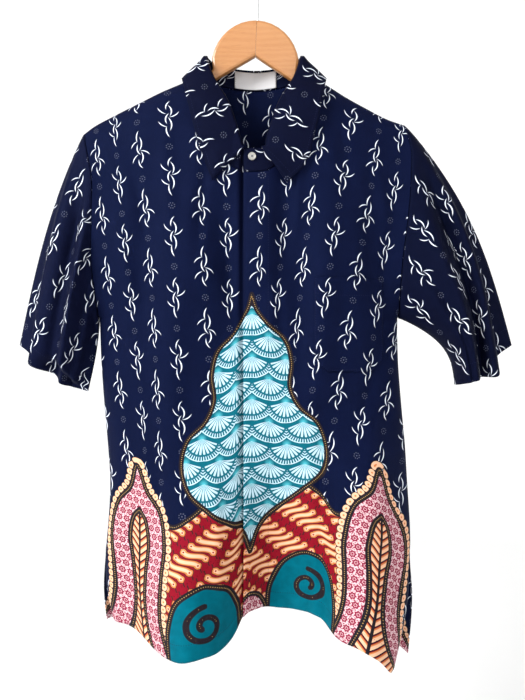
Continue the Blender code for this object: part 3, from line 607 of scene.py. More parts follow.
# ---------------------------------------------------------------- collar surface
def neck_seam(angle):
    """Neck seam at an angle in degrees round the neck: 0 back, 90 right, 180 front."""
    x = NECK_X + NECK_HALF * np.sin(np.radians(angle))
    at_front = np.abs(angle) > 90
    drop = np.where(at_front, neckline_drop(x, "front"), neckline_drop(x, "back"))
    y_front = body_y(x, drop, "front") + np.where(angle < 0, underlap(x), 0.0)
    return place(x, np.where(at_front, y_front, body_y(x, drop, "back")), drop)


def stand_point(angle, share):
    """Point on the stand, from its neck seam (share 0) to the fold line (share 1)."""
    away = np.abs(angle)
    ways = (STAND["inward"], STAND["back"], STAND["rise"])
    lift = np.stack([smooth_line(away, STAND["angle"], way) for way in ways], -1)
    lift[..., 0] *= np.where(angle < 0, 1.0, -1.0)
    length = np.linalg.norm(lift, axis=-1, keepdims=True)
    upright = bell((away - 90) / STAND_CLEAR_ANGLE)[..., None]
    start = (CLOTH / 2 + SEAM_GAP + STAND_CLEAR * upright) / length
    point = neck_seam(angle) + lift * (start + (1 - start) * share)
    dip = np.where(angle < 0, underlap(point[..., 0]), 0.0)
    front = body_y(point[..., 0], -point[..., 2], "front") + dip
    point[..., 1] = np.where(away > 90, np.minimum(point[..., 1], front), point[..., 1])
    return point


def stand_facing(angles):
    """Direction that the stand's outer side faces."""
    along = stand_point(angles + 1.0, 0.5) - stand_point(angles - 1.0, 0.5)
    facing = unit(np.cross(stand_point(angles, 1.0) - stand_point(angles, 0.0), along))
    outwards = facing[:, 0] * np.sin(np.radians(angles)) + facing[:, 1] * np.cos(np.radians(angles))
    return facing * np.sign(outwards)[:, None]


def fold_angles():
    """Angles of the stand's columns, the same as the panels' own along the neck seam."""
    def reach(x):
        """Angle round the neck, in degrees from its middle, of a place across it."""
        return np.degrees(np.arcsin(np.clip((x - NECK_X) / NECK_HALF, -1.0, 1.0)))

    under = -180 - reach(neck_columns_front("left")[::-1])
    over = 180 - reach(neck_columns_front("right"))
    return np.concatenate([under, reach(neck_columns_back())[1:-1], over])


def stand_grid():
    """The stand, from its neck seam up to the fold line."""
    angles = fold_angles()
    return np.array([stand_point(angles, share) for share in STAND_SHARES])


def fall_angles():
    """Angles of the fall's columns, from one leaf's front end round the neck to the other's."""
    angles = fold_angles()
    between = (angles > FALL_END_SPACE - FALL_END_LEFT) & (angles < FALL_END_RIGHT - FALL_END_SPACE)
    return np.concatenate([[-FALL_END_LEFT], angles[between], [FALL_END_RIGHT]])


def fall_grid():
    """The turned-down collar, from its fold line to its outer edge."""
    angles = fall_angles()
    away = np.abs(angles)
    is_left = angles < 0
    reach = np.where(is_left, away, away * FALL_END_LEFT / FALL_END_RIGHT)
    edge_x, edge_drop = (
        np.where(is_left, *(smooth_line(reach, FALL_EDGE["angle"], FALL_EDGE[name + side])
                            for side in ("_left", "_right")))
        for name in ("x", "drop")
    )
    fold = stand_point(angles, 1.0)
    out = stand_facing(angles)
    up = unit(fold - stand_point(angles, 0.0))
    at_front = away > 90
    beside = np.clip(np.abs(away - 90) / FALL_HOLD, 0.0, 1.0)
    start = fold + out * FALL_ROLL + up * FALL_LIFT
    rows = [fold + up * (COLLAR_CLOTH / 2 + SEAM_GAP + FOLD_CLEAR)]
    for share in np.arange(FALL_ROWS + 1) / FALL_ROWS:
        x = start[:, 0] + (edge_x - start[:, 0]) * share
        drop = -start[:, 2] + (edge_drop + start[:, 2]) * share
        front = np.minimum(body_y(x, drop, "front"), fold[:, 1]) - FALL_CLEAR
        back = np.maximum(body_y(x, drop, "back"), fold[:, 1]) + FALL_CLEAR
        y = start[:, 1] + (np.where(at_front, front, back) - start[:, 1]) * share
        y = y + out[:, 1] * FALL_BELLY * math.sin(math.pi * share)
        held = np.where(at_front, np.minimum(y, front), np.maximum(y, back))
        rows.append(place(x, y + (held - y) * beside, drop))
    return np.array(rows)


# ---------------------------------------------------------------- sleeve surface
def armhole(side):
    """Armhole seam as a ring of points: down the front from the shoulder, up the back."""
    front = front_grid("left" if side < 0 else "right")
    down = front[: ROWS_ABOVE_PIT + 1, 0]
    up = back_grid()[: ROWS_ABOVE_PIT + 1, 0 if side < 0 else -1]
    return np.concatenate([down[:-1], up[:0:-1]])


def fold_turn(top, foot, share):
    """Turn at which a fold lies, so that it runs straight down the bowed sleeve."""
    return foot + (top - foot) * (1 - share) ** 2


def turn_folds(turns, share, folds):
    """Ridges and troughs that run down a sleeve, growing from the armhole."""
    total = np.zeros(len(turns))
    for top, foot, width, height in zip(*folds.values()):
        total += height * bell((turns - fold_turn(top, foot, share)) / width)
    return total * ease(share * 4)


def sleeve_grid(side, bow_outer, bow_inner, tuck, cuff, creases):
    """Sleeve from the armhole seam to its hem, bowed out between them.

    A tucked cuff turns under along a slanting line across its front.
    """
    start = armhole(side)
    turns = np.arange(len(start)) / len(start)
    low = np.cos(2 * math.pi * turns) * 0.5 + 0.5  # 1 at the outer fold, 0 at the underarm
    start[:, 0] += side * (SLEEVE_CLEAR + SLEEVE_PIT_CLEAR * (1 - low) ** 4)
    wrapped = np.concatenate([cuff["turn"] - 1, cuff["turn"], cuff["turn"] + 1])
    end = place(*(smooth_line(turns, wrapped, np.tile(cuff[name], 3)) for name in ("x", "y", "drop")))
    bow = bow_inner + (bow_outer - bow_inner) * low
    forward = -np.sin(2 * math.pi * turns)
    outward = np.where(turns < 0.5, -1.0, 1.0)
    off = np.abs(turns - TUCK_TURN) / TUCK_REACH
    rows = []
    for share in np.arange(SLEEVE_ROWS + 1) / SLEEVE_ROWS:
        swell = math.sin(math.pi * share**SLEEVE_SWELL)
        points = start + (end - start) * share
        points[:, 0] += side * bow * swell
        fold = turn_folds(turns, share, SLEEVE_FOLDS) + turn_folds(turns, share, creases)
        points[:, 1] += forward * SLEEVE_BELLY * swell + outward * fold
        under = ease((share - TUCK_START - TUCK_SLANT * off) / TUCK_SOFT)
        points[:, 1] += tuck * under * ease(1.5 * (1 - off))
        rows.append(points)
    return np.array(rows)


# ---------------------------------------------------------------- laid-on pieces
def pocket_grid():
    """Patch pocket a step outside the wearer's left front, its lower corners cut off."""
    x = np.linspace(POCKET["x_left"], POCKET["x_right"], POCKET_CELLS + 1)
    near_side = np.minimum(x - x[0], x[-1] - x)
    foot = POCKET["drop_foot"] - np.clip(POCKET["corner"] - near_side, 0.0, None)
    shares = np.linspace(0.0, 1.0, POCKET_CELLS + 1)
    drops = POCKET["drop_top"] + np.outer(shares, foot - POCKET["drop_top"])
    across = np.tile(x, (POCKET_CELLS + 1, 1))
    return place(across, body_y(across, drops, "front") - CLOTH - POCKET_CLEAR, drops)


def label_grid():
    """Label on the inside of the stand, behind the neck."""
    x = np.linspace(LABEL["x_left"], LABEL["x_right"], LABEL_COLUMNS + 1)
    turn = np.arcsin((x - NECK_X) / NECK_HALF)
    inward = (COLLAR_CLOTH + LABEL_CLOTH) / 2 + LABEL_CLEAR
    step = inward * np.stack([np.sin(turn), np.cos(turn), 0 * turn], -1)
    shares = np.linspace(LABEL["foot"], LABEL["top"], LABEL_ROWS + 1)
    return np.array([stand_point(np.degrees(turn), share) - step for share in shares])


def hook_path():
    """Middle line of the wire: up the stem, a short bend aside, then round the hook."""
    centre = HOOK_RADIUS - WIRE_RADIUS
    reach = STEM_TOP_DROP - centre
    bend = (reach**2 - HOOK_RADIUS**2) / (2 * HOOK_RADIUS)
    stem = np.linspace(-WIRE_FOOT_DROP, -STEM_TOP_DROP, STEM_STEPS, endpoint=False)
    turn = np.linspace(math.pi, math.atan2(reach, -bend), BEND_STEPS, endpoint=False)
    start = math.atan2(-reach, bend)
    end = math.radians(HOOK_END_DEGREES)
    hook = np.linspace(start, end, round((end - start) * HOOK_RADIUS / WIRE_STEP) + 1)
    x = np.concatenate([0 * stem, bend + bend * np.cos(turn), HOOK_RADIUS * np.cos(hook)])
    z = np.concatenate([stem, bend * np.sin(turn) - STEM_TOP_DROP, HOOK_RADIUS * np.sin(hook) - centre])
    return np.stack([x, 0 * x, z], -1)


# ---------------------------------------------------------------- the print's places
PRINT_PITCH = 0.0355  # from one column of sprigs to the next
PRINT_PERIOD = 0.080  # from one sprig to the next in a column
PRINT_TOP_DROP = 0.289
CHEST_DROP = 0.321
WAIST_DROP = 0.582
# Where the columns of sprigs run on the fronts: they draw together below the chest.
COLUMN_LINES = table(
    "column  x_chest  x_waist",
    (-7, -268, -239), (-6, -236, -210), (-5, -207.4, -180.7), (-4, -180.7, -152.6),
    (-3, -148.4, -130.3), (-2, -111.7, -100.5), (-1, -73.3, -59.2), (0, -41, -35.1), (1, 5.4, 0.8),
    (2, 38.2, 16.5), (3, 70.7, 42.6), (4, 107.2, 69.4), (5, 147.4, 104), (6, 179.6, 139.9),
    (7, 209.7, 171.9), (8, 245, 205), (9, 280, 238),
)
# How far the print hangs lower at each side: from where, over what width, how far.
PRINT_LAGS = {"left": (-0.13, 0.07, 0.010), "right": (0.10, 0.08, 0.016)}
LAG_END_DROP = 0.62  # where the left lag has faded out
LAG_FADE = 0.2
BACK_PRINT_START = (0.355, 0.60)  # columns and sprigs at the middle of the back, PRINT_TOP_DROP down
# The print lies flat on the sleeves and the collar's leaves: the middle of one sprig, and
# how far the sprigs lean out from the upright, in degrees. A sleeve's second row holds
# below its deep fold.
PRINT_FRAME = "x  drop  lean"
SLEEVE_PRINTS = {
    "sleeve_right": table(PRINT_FRAME, (-259.9, 423.1, 25)),
    "sleeve_left": table(PRINT_FRAME, (267.8, 400.0, 12), (221.2, 359.7, 37)),
}
DEEP_FOLD = (0.13, 0.24)  # turns round the sleeve of that fold, at the armhole and the cuff
PRINT_TURNS = {-1: (0.18,), 1: (0.08, 0.34)}  # turns at which each row of a sleeve's print lies flat
LEAF_PRINTS = {
    "left": table(PRINT_FRAME, (-56.6, 205.0, 69)),
    "right": table(PRINT_FRAME, (42.6, 214.1, 58)),
}
STAND_PRINT = table(PRINT_FRAME, (5.0, 247.0, 28))
STAND_PRINT_START = (0.25, 0.35)
TAB_ANGLE = 125  # round the neck, where the stand's front tabs begin
TAB_BLEND = 4
LEAF_ANGLE = 84
LEAF_BLEND = 14

# The border's outlines, across from the middle and down from the origin, with the hem
# drawn level at BORDER_HEM. The other half of each outline mirrors this one.
BORDER_X = -0.0069  # middle of the border, on the placket
BORDER_HALF = 0.215
BORDER_HEM = 0.885
OUTLINES = {
    "arch": table(
        "p  q",
        (0, 458), (6, 478), (20, 496), (42, 514), (51, 545), (49, 580), (60, 606), (83, 628),
        (92, 660), (84, 694), (60, 720), (34, 742), (12, 772), (0, 806),
    ),
    "ground": table(
        "p  q",
        (0, 690), (50, 700), (84, 724), (104, 734), (124, 728), (150, 740), (158, 800), (158, 960),
        (0, 960),
    ),
    "side": table(
        "p  q",
        (102, 965), (108, 900), (122, 850), (120, 800), (116, 760), (126, 718), (144, 696),
        (157, 664), (170, 696), (188, 718), (198, 760), (192, 800), (192, 838), (206, 868),
        (232, 884), (240, 965),
    ),
    "mound": table(
        "p  q",
        (20, 965), (27, 895), (30, 850), (44, 818), (70, 806), (96, 818), (110, 850), (113, 895),
        (122, 965),
    ),
    "foot": table(
        "p  q",
        (0, 862), (12, 865), (22, 876), (28, 900), (30, 965), (0, 965),
    ),
}
CURL = {"p": 0.071, "q": 0.850, "outer": 0.022, "inner": 0.005, "turns": 1.35, "start": -1.6}
CURL_STEPS = 60
OUTLINE_STEPS = 140
FEATHER_X = 0.157  # middle line of the feather in each side arch


def over_shoulder(points):
    """Extra length of the cloth above the armpit where it leans back over the shoulder."""
    steps = np.linalg.norm(np.diff(points, axis=0), axis=-1) - np.abs(np.diff(points[..., 2], axis=0))
    above = np.cumsum(steps[::-1], axis=0)[::-1]
    extra = np.concatenate([above, np.zeros((1, points.shape[1]))])
    return np.clip(extra - extra[ROWS_ABOVE_PIT], 0.0, None)


def print_front(points, extra=0.0):
    """Column and sprig numbers on the fronts, read between the columns' lines."""
    x, drop = points[..., 0], -points[..., 2]
    levels = (COLUMN_LINES["x_chest"], COLUMN_LINES["x_waist"])
    chest, waist = (np.interp(x, level, COLUMN_LINES["column"]) for level in levels)
    share = np.clip((drop - CHEST_DROP) / (WAIST_DROP - CHEST_DROP), -0.6, 1.4)
    start, width, lag = PRINT_LAGS["left"]
    lags = lag * ease((start - x) / width) * ease((LAG_END_DROP - drop) / LAG_FADE)
    start, width, lag = PRINT_LAGS["right"]
    lags = lags + lag * ease((x - start) / width)
    return pair(chest + (waist - chest) * share, (drop - PRINT_TOP_DROP - lags - extra) / PRINT_PERIOD)


def print_back(points):
    """Column and sprig numbers on the back, by the cloth's own lengths from its middle.

    Above the armpit the columns run straight up from there.
    """
    across = lengths_along(points, 1)
    across = across - across[:, points.shape[1] // 2, None]
    level = slice(ROWS_ABOVE_PIT)
    across[level] = np.interp(points[level, :, 0], points[ROWS_ABOVE_PIT, :, 0], across[ROWS_ABOVE_PIT])
    down = -points[..., 2] - PRINT_TOP_DROP - over_shoulder(points)
    return pair(across / PRINT_PITCH, down / PRINT_PERIOD) + BACK_PRINT_START


def flat_print(points, frame, row, side):
    """Column and sprig numbers on a flat frame, and the way that its sprigs point."""
    lean = math.radians(frame["lean"][row])
    down = np.array([side * math.sin(lean), 0.0, -math.cos(lean)])
    across = np.array([math.cos(lean), 0.0, side * math.sin(lean)])
    from_start = points - np.array([frame["x"][row], 0.0, -frame["drop"][row]])
    return from_start @ across / PRINT_PITCH, from_start @ down / PRINT_PERIOD, down


def round_print(points, frame, row, side, turn):
    """The same for a ring carried down a sleeve, unrolled from the column at that turn.

    Each step to the next column goes straight across the sprigs' way.
    """
    across, along, way = flat_print(points, frame, row, side)
    last = points.shape[1] - 1
    start = round(((turn + 0.5) % 1.0) * last)
    for step, stop in ((1, last + 1), (-1, -1)):
        for column in range(start + step, stop, step):
            before = column - step
            here, level = along[:, column], along[:, before]
            met = np.stack([np.interp(here, level, points[:, before, axis]) for axis in range(3)], -1)
            gap = points[:, column] - met
            gap -= (gap @ way)[:, None] * way
            moved = np.linalg.norm(gap, axis=-1) / PRINT_PITCH
            across[:, column] = np.interp(here, level, across[:, before]) - side * step * moved
    return pair(across, along)


def border_place(points, dip, face):
    """Places on the flat border: across by the cloth's length, down with the hem level."""
    flat = points.copy()
    flat[..., 1] -= dip
    flat[..., 2] = 0.0
    along = lengths_along(flat, 1)
    x = points[..., 0]
    if face == "back":
        across = along - np.array([[np.interp(BORDER_X, *row)] for row in zip(x, along)])
        half = np.where(across < 0, -across[:, :1], across[:, -1:])
    else:
        side = np.sign(x[:, :1] - x[:, -1:])
        across = (x[:, -1:] - BORDER_X) + side * (along[:, -1:] - along)
        half = np.abs(across[:, :1])
    hem = smooth_line(x, HEMS[face]["x"], HEMS[face]["drop"])
    return across * BORDER_HALF / half, -points[..., 2] * BORDER_HEM / hem


def curl_path():
    """Spiral from the outside in: its radius falls evenly with the turn."""
    share = np.linspace(0.0, 1.0, CURL_STEPS)
    turn = CURL["start"] + 2 * math.pi * CURL["turns"] * share
    radius = CURL["outer"] + (CURL["inner"] - CURL["outer"]) * share
    return pair(CURL["p"] + radius * np.cos(turn), CURL["q"] + radius * np.sin(turn))


def distances(p, q, line, closed=True):
    """Distance to a line, negative inside it where it is closed, and the length along it."""
    at = pair(p, q)
    nearest = np.full(p.shape, 9.0)
    along = np.zeros(p.shape)
    inside = np.zeros(p.shape, dtype=bool)
    run = 0.0
    ring = np.concatenate([line, line[:1]]) if closed else line
    for index, (start, end) in enumerate(zip(ring, ring[1:])):
        way = end - start
        length = float(np.hypot(*way)) or 1e-9
        share = np.clip(((at - start) @ way) / length**2, 0.0, 1.0)
        gap = np.linalg.norm(at - start - share[..., None] * way, axis=-1)
        crosses = (start[1] > q) != (end[1] > q)
        inside ^= crosses & (p < start[0] + (q - start[1]) * way[0] / (way[1] or 1e-9))
        if index < len(line) - 1:
            closer = gap < nearest
            nearest = np.where(closer, gap, nearest)
            along = np.where(closer, run + share * length, along)
            run += length
    return (np.where(inside, -nearest, nearest) if closed else nearest), along


def border_fields(points, dip, face):
    """Every outline's distance and length along it, and the border's own places."""
    p, q = border_place(points, dip, face)
    fields = {
        name: distances(np.abs(p), q, smooth_path(pair(*columns.values()), OUTLINE_STEPS))
        for name, columns in OUTLINES.items()
    }
    fields["curl"] = distances(np.abs(p), q, curl_path(), closed=False)
    fields["border"] = (p, q)
    return fields


# ---------------------------------------------------------------- shader arithmetic
class Value:
    """A result in a shader. Arithmetic on it adds Math nodes to the same tree."""

    def __init__(self, socket):
        self.socket = socket

    def __abs__(self):
        return compute("ABSOLUTE", self)

    def step(self, soft):
        """0 to 1 as it rises past 0, over a width of soft."""
        return compute("MULTIPLY_ADD", self, 1.0 / soft, 0.5, clamp=True)

    def cell(self, size):
        """Signed distance from the middle of the cell that it lies in."""
        return (compute("FRACT", self / size) - 0.5) * size

    def mix(self, low, high):
        """Colour that goes from low, where it is 0, to high, where it is 1."""
        inputs = {"Factor": self, 6: low, 7: high}
        return Value(add_node(self.socket.id_data, "ShaderNodeMix", inputs, data_type="RGBA").outputs[2])

    def noise(self, scale, detail=3.0, roughness=0.5):
        """Smooth noise at this vector."""
        inputs = {"Vector": self, "Scale": scale, "Detail": detail, "Roughness": roughness}
        return Value(add_node(self.socket.id_data, "ShaderNodeTexNoise", inputs).outputs["Fac"])

    def parts(self):
        """This vector's x, y and z."""
        made = add_node(self.socket.id_data, "ShaderNodeSeparateXYZ", {0: self})
        return [Value(part) for part in made.outputs]


def put(value, socket):
    """Links a Value to a socket, or sets a number or a colour on it."""
    if isinstance(value, Value):
        socket.id_data.links.new(value.socket, socket)
    else:
        socket.default_value = (*value, 1.0) if socket.type == "RGBA" else value


def add_node(tree, kind, inputs=(), **settings):
    """New node with these settings, its inputs given by name or number."""
    made = tree.nodes.new(kind)
    for name, value in settings.items():
        setattr(made, name, value)
    for key, value in dict(inputs).items():
        put(value, made.inputs[key])
    return made


def compute(operation, *values, clamp=False):
    """Math node on numbers and Values."""
    tree = next(value.socket.id_data for value in values if isinstance(value, Value))
    inputs = enumerate(values)
    return Value(add_node(tree, "ShaderNodeMath", inputs, operation=operation, use_clamp=clamp).outputs[0])


# Value + Value, Value + 1.0, 1.0 + Value, and so on.
for sign, name in {"add": "ADD", "sub": "SUBTRACT", "mul": "MULTIPLY", "truediv": "DIVIDE", "mod": "MODULO",
                   "pow": "POWER"}.items():
    setattr(Value, f"__{sign}__", lambda self, other, name=name: compute(name, self, other))
    setattr(Value, f"__r{sign}__", lambda self, other, name=name: compute(name, other, self))


def hypotenuse(x, y):
    """Length of (x, y)."""
    return compute("SQRT", x * x + y * y)


def largest(first, *others):
    """The greatest of these."""
    for other in others:
        first = compute("MAXIMUM", first, other)
    return first


def joined(x, y):
    """Flat vector."""
    return Value(add_node(x.socket.id_data, "ShaderNodeCombineXYZ", {0: x, 1: y}).outputs[0])


def kept_pair(shader, name):
    """The pair of lengths kept on the mesh's points under that name."""
    made = add_node(shader.id_data, "ShaderNodeAttribute", attribute_name=name)
    return Value(made.outputs["Vector"]).parts()[:2]


def object_place(shader):
    """Place in the object's own metres."""
    return Value(add_node(shader.id_data, "ShaderNodeTexCoord").outputs["Object"])


def dress(shader, values):
    """Sets or links the shader's own inputs."""
    for name, value in values.items():
        put(value, shader.inputs[name])


def bumped(shader, height, strength, distance):
    """Fine relief."""
    inputs = {"Height": height, "Strength": strength, "Distance": distance}
    dress(shader, {"Normal": Value(add_node(shader.id_data, "ShaderNodeBump", inputs).outputs[0])})


def material(name, paint, *given):
    """The material of that name, painted the first time."""
    made = bpy.data.materials.get(name)
    if made is None:
        made = bpy.data.materials.new(name)
        made.use_nodes = True
        paint(made.node_tree.nodes["Principled BSDF"], *given)
    return made


def blend(*parts):
    """Sum of colours, each times its share."""
    return tuple(sum(share * colour[band] for colour, share in parts) for band in range(3))


def tinted(colour, tint):
    """A colour times a tint, band by band."""
    return tuple(part * share for part, share in zip(colour, tint))


def colours():
    """The user's colours by name, and the darker and paler ones worked out from them."""
    chosen = bpy.context.scene.shirt_colours
    looks = {name: tuple(getattr(chosen, name)) for name in COLOUR_DEFAULTS}
    navy, white = looks["navy"], looks["white"]
    looks["navy_deep"] = blend((navy, 0.62))
    looks["navy_pale"] = blend((navy, 1.9))
    looks["ring"] = blend((white, 0.30), (navy, 4))
    looks["leaf_edge"] = blend((white, 0.15), (navy, 0.7))
    looks["petal"] = blend((white, 0.52), (looks["pale_teal"], 0.50))
    looks["deep_red"] = blend((looks["crimson"], 0.55))
    looks["deep_teal"] = blend((looks["teal"], 0.7))
    return looks


def layered(colour, inside, looks, *layers):
    """Colours over one another, each where "inside" is past its edge, over a soft width."""
    for name, edge, soft in layers:
        colour = (inside - edge).step(soft).mix(colour, looks[name])
    return colour


# ---------------------------------------------------------------- print
# Leaves of a sprig, in millimetres from its middle, up and to the right: both ends of
# each leaf, how far it bends to the left of the way from its start to its end, and its half width.
SPRIG = (
    (2.0, 25.2, -2.2, 13.4, -1.6, 0.48),
    (0.8, 18.8, 2.6, 3.6, 2.5, 0.56),
    (-11.2, 15.6, -2.8, 6.6, -1.5, 0.42),
    (12.0, 8.4, 2.2, 1.6, 1.5, 0.42),
    (0.5, 6.4, -1.9, -7.4, -2.2, 0.56),
    (0.4, 0.6, 2.1, -17.0, 2.6, 0.58),
    (-11.2, -5.0, -2.2, -12.2, -1.4, 0.42),
    (-2.2, -12.4, 0.5, -26.2, -1.5, 0.56),
)
LEAF_POINT = 0.75  # power of a leaf's width towards its ends
RING_RADIUS = 3.6  # of the ring of dots, and its dots, in millimetres
RING_DOTS = 8
DOT_RADIUS = 0.62
CENTRE_RADIUS = 0.744


def leaf(a, b, a_start, b_start, a_end, b_end, bulge, width):
    """Crescent leaf: half width minus the distance from a bent middle line.

    With s along the leaf from -1 to 1, the middle line is bulge (1 - s^2) aside and the
    half width is width (1 - s^2)^LEAF_POINT, so both ends are pointed.
    """
    length = math.hypot(a_end - a_start, b_end - b_start)
    cosine, sine = (a_end - a_start) / length, (b_end - b_start) / length
    a = a - (a_start + a_end) / 2
    b = b - (b_start + b_end) / 2
    share = (a * cosine + b * sine) / (length / 2)
    full = 1.0 - share * share
    half = largest(full, 0.0) ** LEAF_POINT * width
    return half - abs(b * cosine - a * sine - full * bulge) + compute("MINIMUM", full, 0.0)


def sprig_cover(across, down):
    """Sprigs and rings of dots: how far inside a leaf or a dot a place is, in millimetres.

    Every second column is half a period lower and its sprigs are upside down.
    """
    column = compute("ROUND", across)
    odd = abs(column) % 2.0
    a = (across - column) * (PRINT_PITCH * 1000)
    shifted = down + odd * 0.5
    b = (compute("FRACT", shifted + 0.5) - 0.5) * (odd * 2.0 - 1.0) * (PRINT_PERIOD * 1000)
    leaves = largest(*(leaf(a, b, *row) for row in SPRIG))
    from_ring = (compute("FRACT", shifted) - 0.5) * (PRINT_PERIOD * 1000)
    around = compute("ARCTAN2", from_ring, a) * (RING_DOTS / (2 * math.pi))
    apart = around.cell(1.0) * (2 * math.pi * RING_RADIUS / RING_DOTS)
    reach = hypotenuse(a, from_ring)
    dots = DOT_RADIUS - hypotenuse(apart, reach - RING_RADIUS)
    return leaves, largest(dots, CENTRE_RADIUS - reach)


OUTLINE_HALF = 0.0032
OUTLINE_DOT = 0.0026  # from one gold dot to the next
OUTLINE_SOFT = 0.0004
GOLD_RADIUS = 0.0005


def edged(colour, distance, along, looks):
    """A dark band along an outline, with a row of small gold dots in its middle."""
    colour = layered(colour, OUTLINE_HALF - abs(distance), looks, ("outline", 0.0, OUTLINE_SOFT))
    spot = GOLD_RADIUS - hypotenuse(along.cell(OUTLINE_DOT), distance)
    return layered(colour, spot, looks, ("gold", 0.0, OUTLINE_SOFT))


SCALE_WIDTH = 0.043
SCALE_STEP = 0.0285  # from one row of scales to the next
SCALE_RADIUS = 0.0290
SCALE_SHIFT = 0.43  # a whole number of scales, which keeps the cells' numbers above 0
FAN_TURN = 1.22  # how far the petals spread to each side, in radians
PETALS = 3.8  # to a radian
PETAL_MIDDLE = 0.40  # share of SCALE_RADIUS where a petal is widest
PETAL_FULL = 0.92  # its width there, before its soft edge, as a share of the room it has
PETAL_END = 0.70  # share of SCALE_RADIUS where it ends
TEETH = 8.0  # to a radian, in the comb between the petals and the rim
COMB_START = 0.79
RIM_START = 0.955
SCALE_WHITE = 0.95  # how strong the drawing is


def scale_fill(p, q, looks):
    """Rows of round scales, each over the next row's tops, with white petals fanned in it.

    A place belongs to the upper row where that row's disc holds it, else to the row below.
    It is drawn by its radius and its turn: a rim, a row of small teeth and pointed petals.
    """
    row = compute("FLOOR", q / SCALE_STEP)
    picked = []
    for own in (row, row + 1.0):
        a = (p + SCALE_SHIFT + own % 2.0 * (SCALE_WIDTH / 2)).cell(SCALE_WIDTH)
        b = q - own * SCALE_STEP
        picked.append((a, b, hypotenuse(a, b)))
    upper, lower = picked
    held = (SCALE_RADIUS - upper[2]).step(0.0002)
    a, b, reach = (low + held * (high - low) for high, low in zip(upper, lower))
    share = reach / SCALE_RADIUS
    turn = compute("ARCTAN2", a, b)
    fan = (FAN_TURN - abs(turn)).step(0.05)
    half = (PETAL_FULL - abs(share - PETAL_MIDDLE)) * 0.50
    petals = (half - abs((turn * PETALS).cell(1.0)) - 0.07).step(0.10) * (PETAL_END - share).step(0.03)
    comb = (0.19 - abs((turn * TEETH).cell(1.0))).step(0.1) * (share - COMB_START).step(0.03)
    white = largest(largest(petals, comb) * fan, (share - RIM_START).step(0.02))
    ground = (share - 0.12).step(0.20).mix(looks["pale_teal"], looks["bright_teal"])
    return (white * SCALE_WHITE).mix(ground, looks["petal"])


BAND_PERIOD = 0.042
BAND_HALF = 0.016  # half the height of the strokes' band
BAND_ACROSS = (0.80, 0.60)  # cosine and sine of the bands' slope
STROKE_PITCH = 0.0108
STROKE_HALF = 0.0042
STROKE_BEND = 2.7  # radians of the strokes' wave from the middle of a band to its edge
STROKE_WAVE = 0.0036
STROKE_SLANT = 0.25
KNOB_RADIUS = 0.0040  # the strokes' ends, and how far they lie from the band's middle
KNOB_PLACE = 0.0115
EYE_RADIUS = 0.0011


def band_fill(p, q, looks):
    """Slanting bands, risen to the middle: S-shaped cream strokes between plain crimson ones."""
    cosine, sine = BAND_ACROSS
    aside = abs(p)
    b = (q * cosine - aside * sine).cell(BAND_PERIOD)
    share = b / BAND_HALF
    wave = compute("SINE", share * STROKE_BEND) * STROKE_WAVE
    a = (q * sine + aside * cosine + wave + b * STROKE_SLANT).cell(STROKE_PITCH)
    full = compute("SQRT", largest(1.0 - share * share, 0.0))
    knob = hypotenuse(a, abs(b) - KNOB_PLACE)
    body = largest(full * STROKE_HALF - abs(a), KNOB_RADIUS - knob)
    ground = (joined(p, q).noise(420.0) - 0.62).step(0.1).mix(looks["crimson"], looks["deep_red"])
    colour = layered(ground, body, looks, ("outline", -0.0006, 0.0004), ("orange", 0.0001, 0.0004),
                     ("cream", 0.0018, 0.0008))
    return layered(colour, EYE_RADIUS - knob, looks, ("crimson", 0.0, 0.0004))


FLOWER_PITCH = 0.0098
FLOWER_RADIUS = 0.0030
FLOWER_LOBES = 7.0
FLOWER_WAVE = 0.0005  # how far the lobes stand out
FLOWER_RING = 0.0012  # half the ring's width
FLOWER_EYE = 0.0013
SPECK_START = 0.0047  # from the flower's middle


def flower_fill(p, q, looks):
    """Small crimson ring flowers in half-drop on a pale ground, dots between them."""
    row = compute("FLOOR", q / FLOWER_PITCH)
    a = (p + 1.0 + row % 2.0 * (FLOWER_PITCH / 2)).cell(FLOWER_PITCH)
    b = q.cell(FLOWER_PITCH)
    reach = hypotenuse(a, b)
    lobes = compute("COSINE", compute("ARCTAN2", b, a) * FLOWER_LOBES) * FLOWER_WAVE
    flower = largest(FLOWER_RING - abs(reach - (lobes + FLOWER_RADIUS)), FLOWER_EYE - reach)
    specks = (reach - SPECK_START).step(0.0003) * (joined(p, q).noise(620.0) - 0.53).step(0.1)
    return largest(flower.step(0.0003), specks).mix(looks["pink"], looks["rose"])


BARB_PITCH = 0.0095
BARB_SLOPE = 0.9
SHAFT_HALF = 0.0016


def feather_fill(p, q, looks):
    """Cream barbs that rise to a middle line, each with an orange edge and a dark gap."""
    aside = abs(abs(p) - FEATHER_X)
    barb = (q + aside * BARB_SLOPE).cell(BARB_PITCH)
    ground = (barb + 0.0030).step(0.0006).mix(looks["outline"], looks["crimson"])
    colour = layered(ground, barb, looks, ("orange", -0.0018, 0.0005), ("cream", 0.0002, 0.0008))
    return layered(colour, SHAFT_HALF - aside, looks, ("outline", 0.0, 0.0004))


BEAD_PITCH = 0.0088
BEAD_RADIUS = 0.0044
BEAD_PLACE = 0.0062  # out from the outline's middle
SIDE_CORE = 0.026  # how far inside a side arch's outline its feather begins


def beads(colour, distance, along, looks):
    """Cream beads with a dark rim along the outside of an outline."""
    reach = hypotenuse(along.cell(BEAD_PITCH), distance - BEAD_PLACE)
    rim_and_bead = (("outline", -0.0005, 0.0004), ("cream", 0.0004, 0.0005))
    colour = layered(colour, BEAD_RADIUS - reach, looks, *rim_and_bead)
    return layered(colour, 0.0012 - reach, looks, ("orange", 0.0, 0.0004))


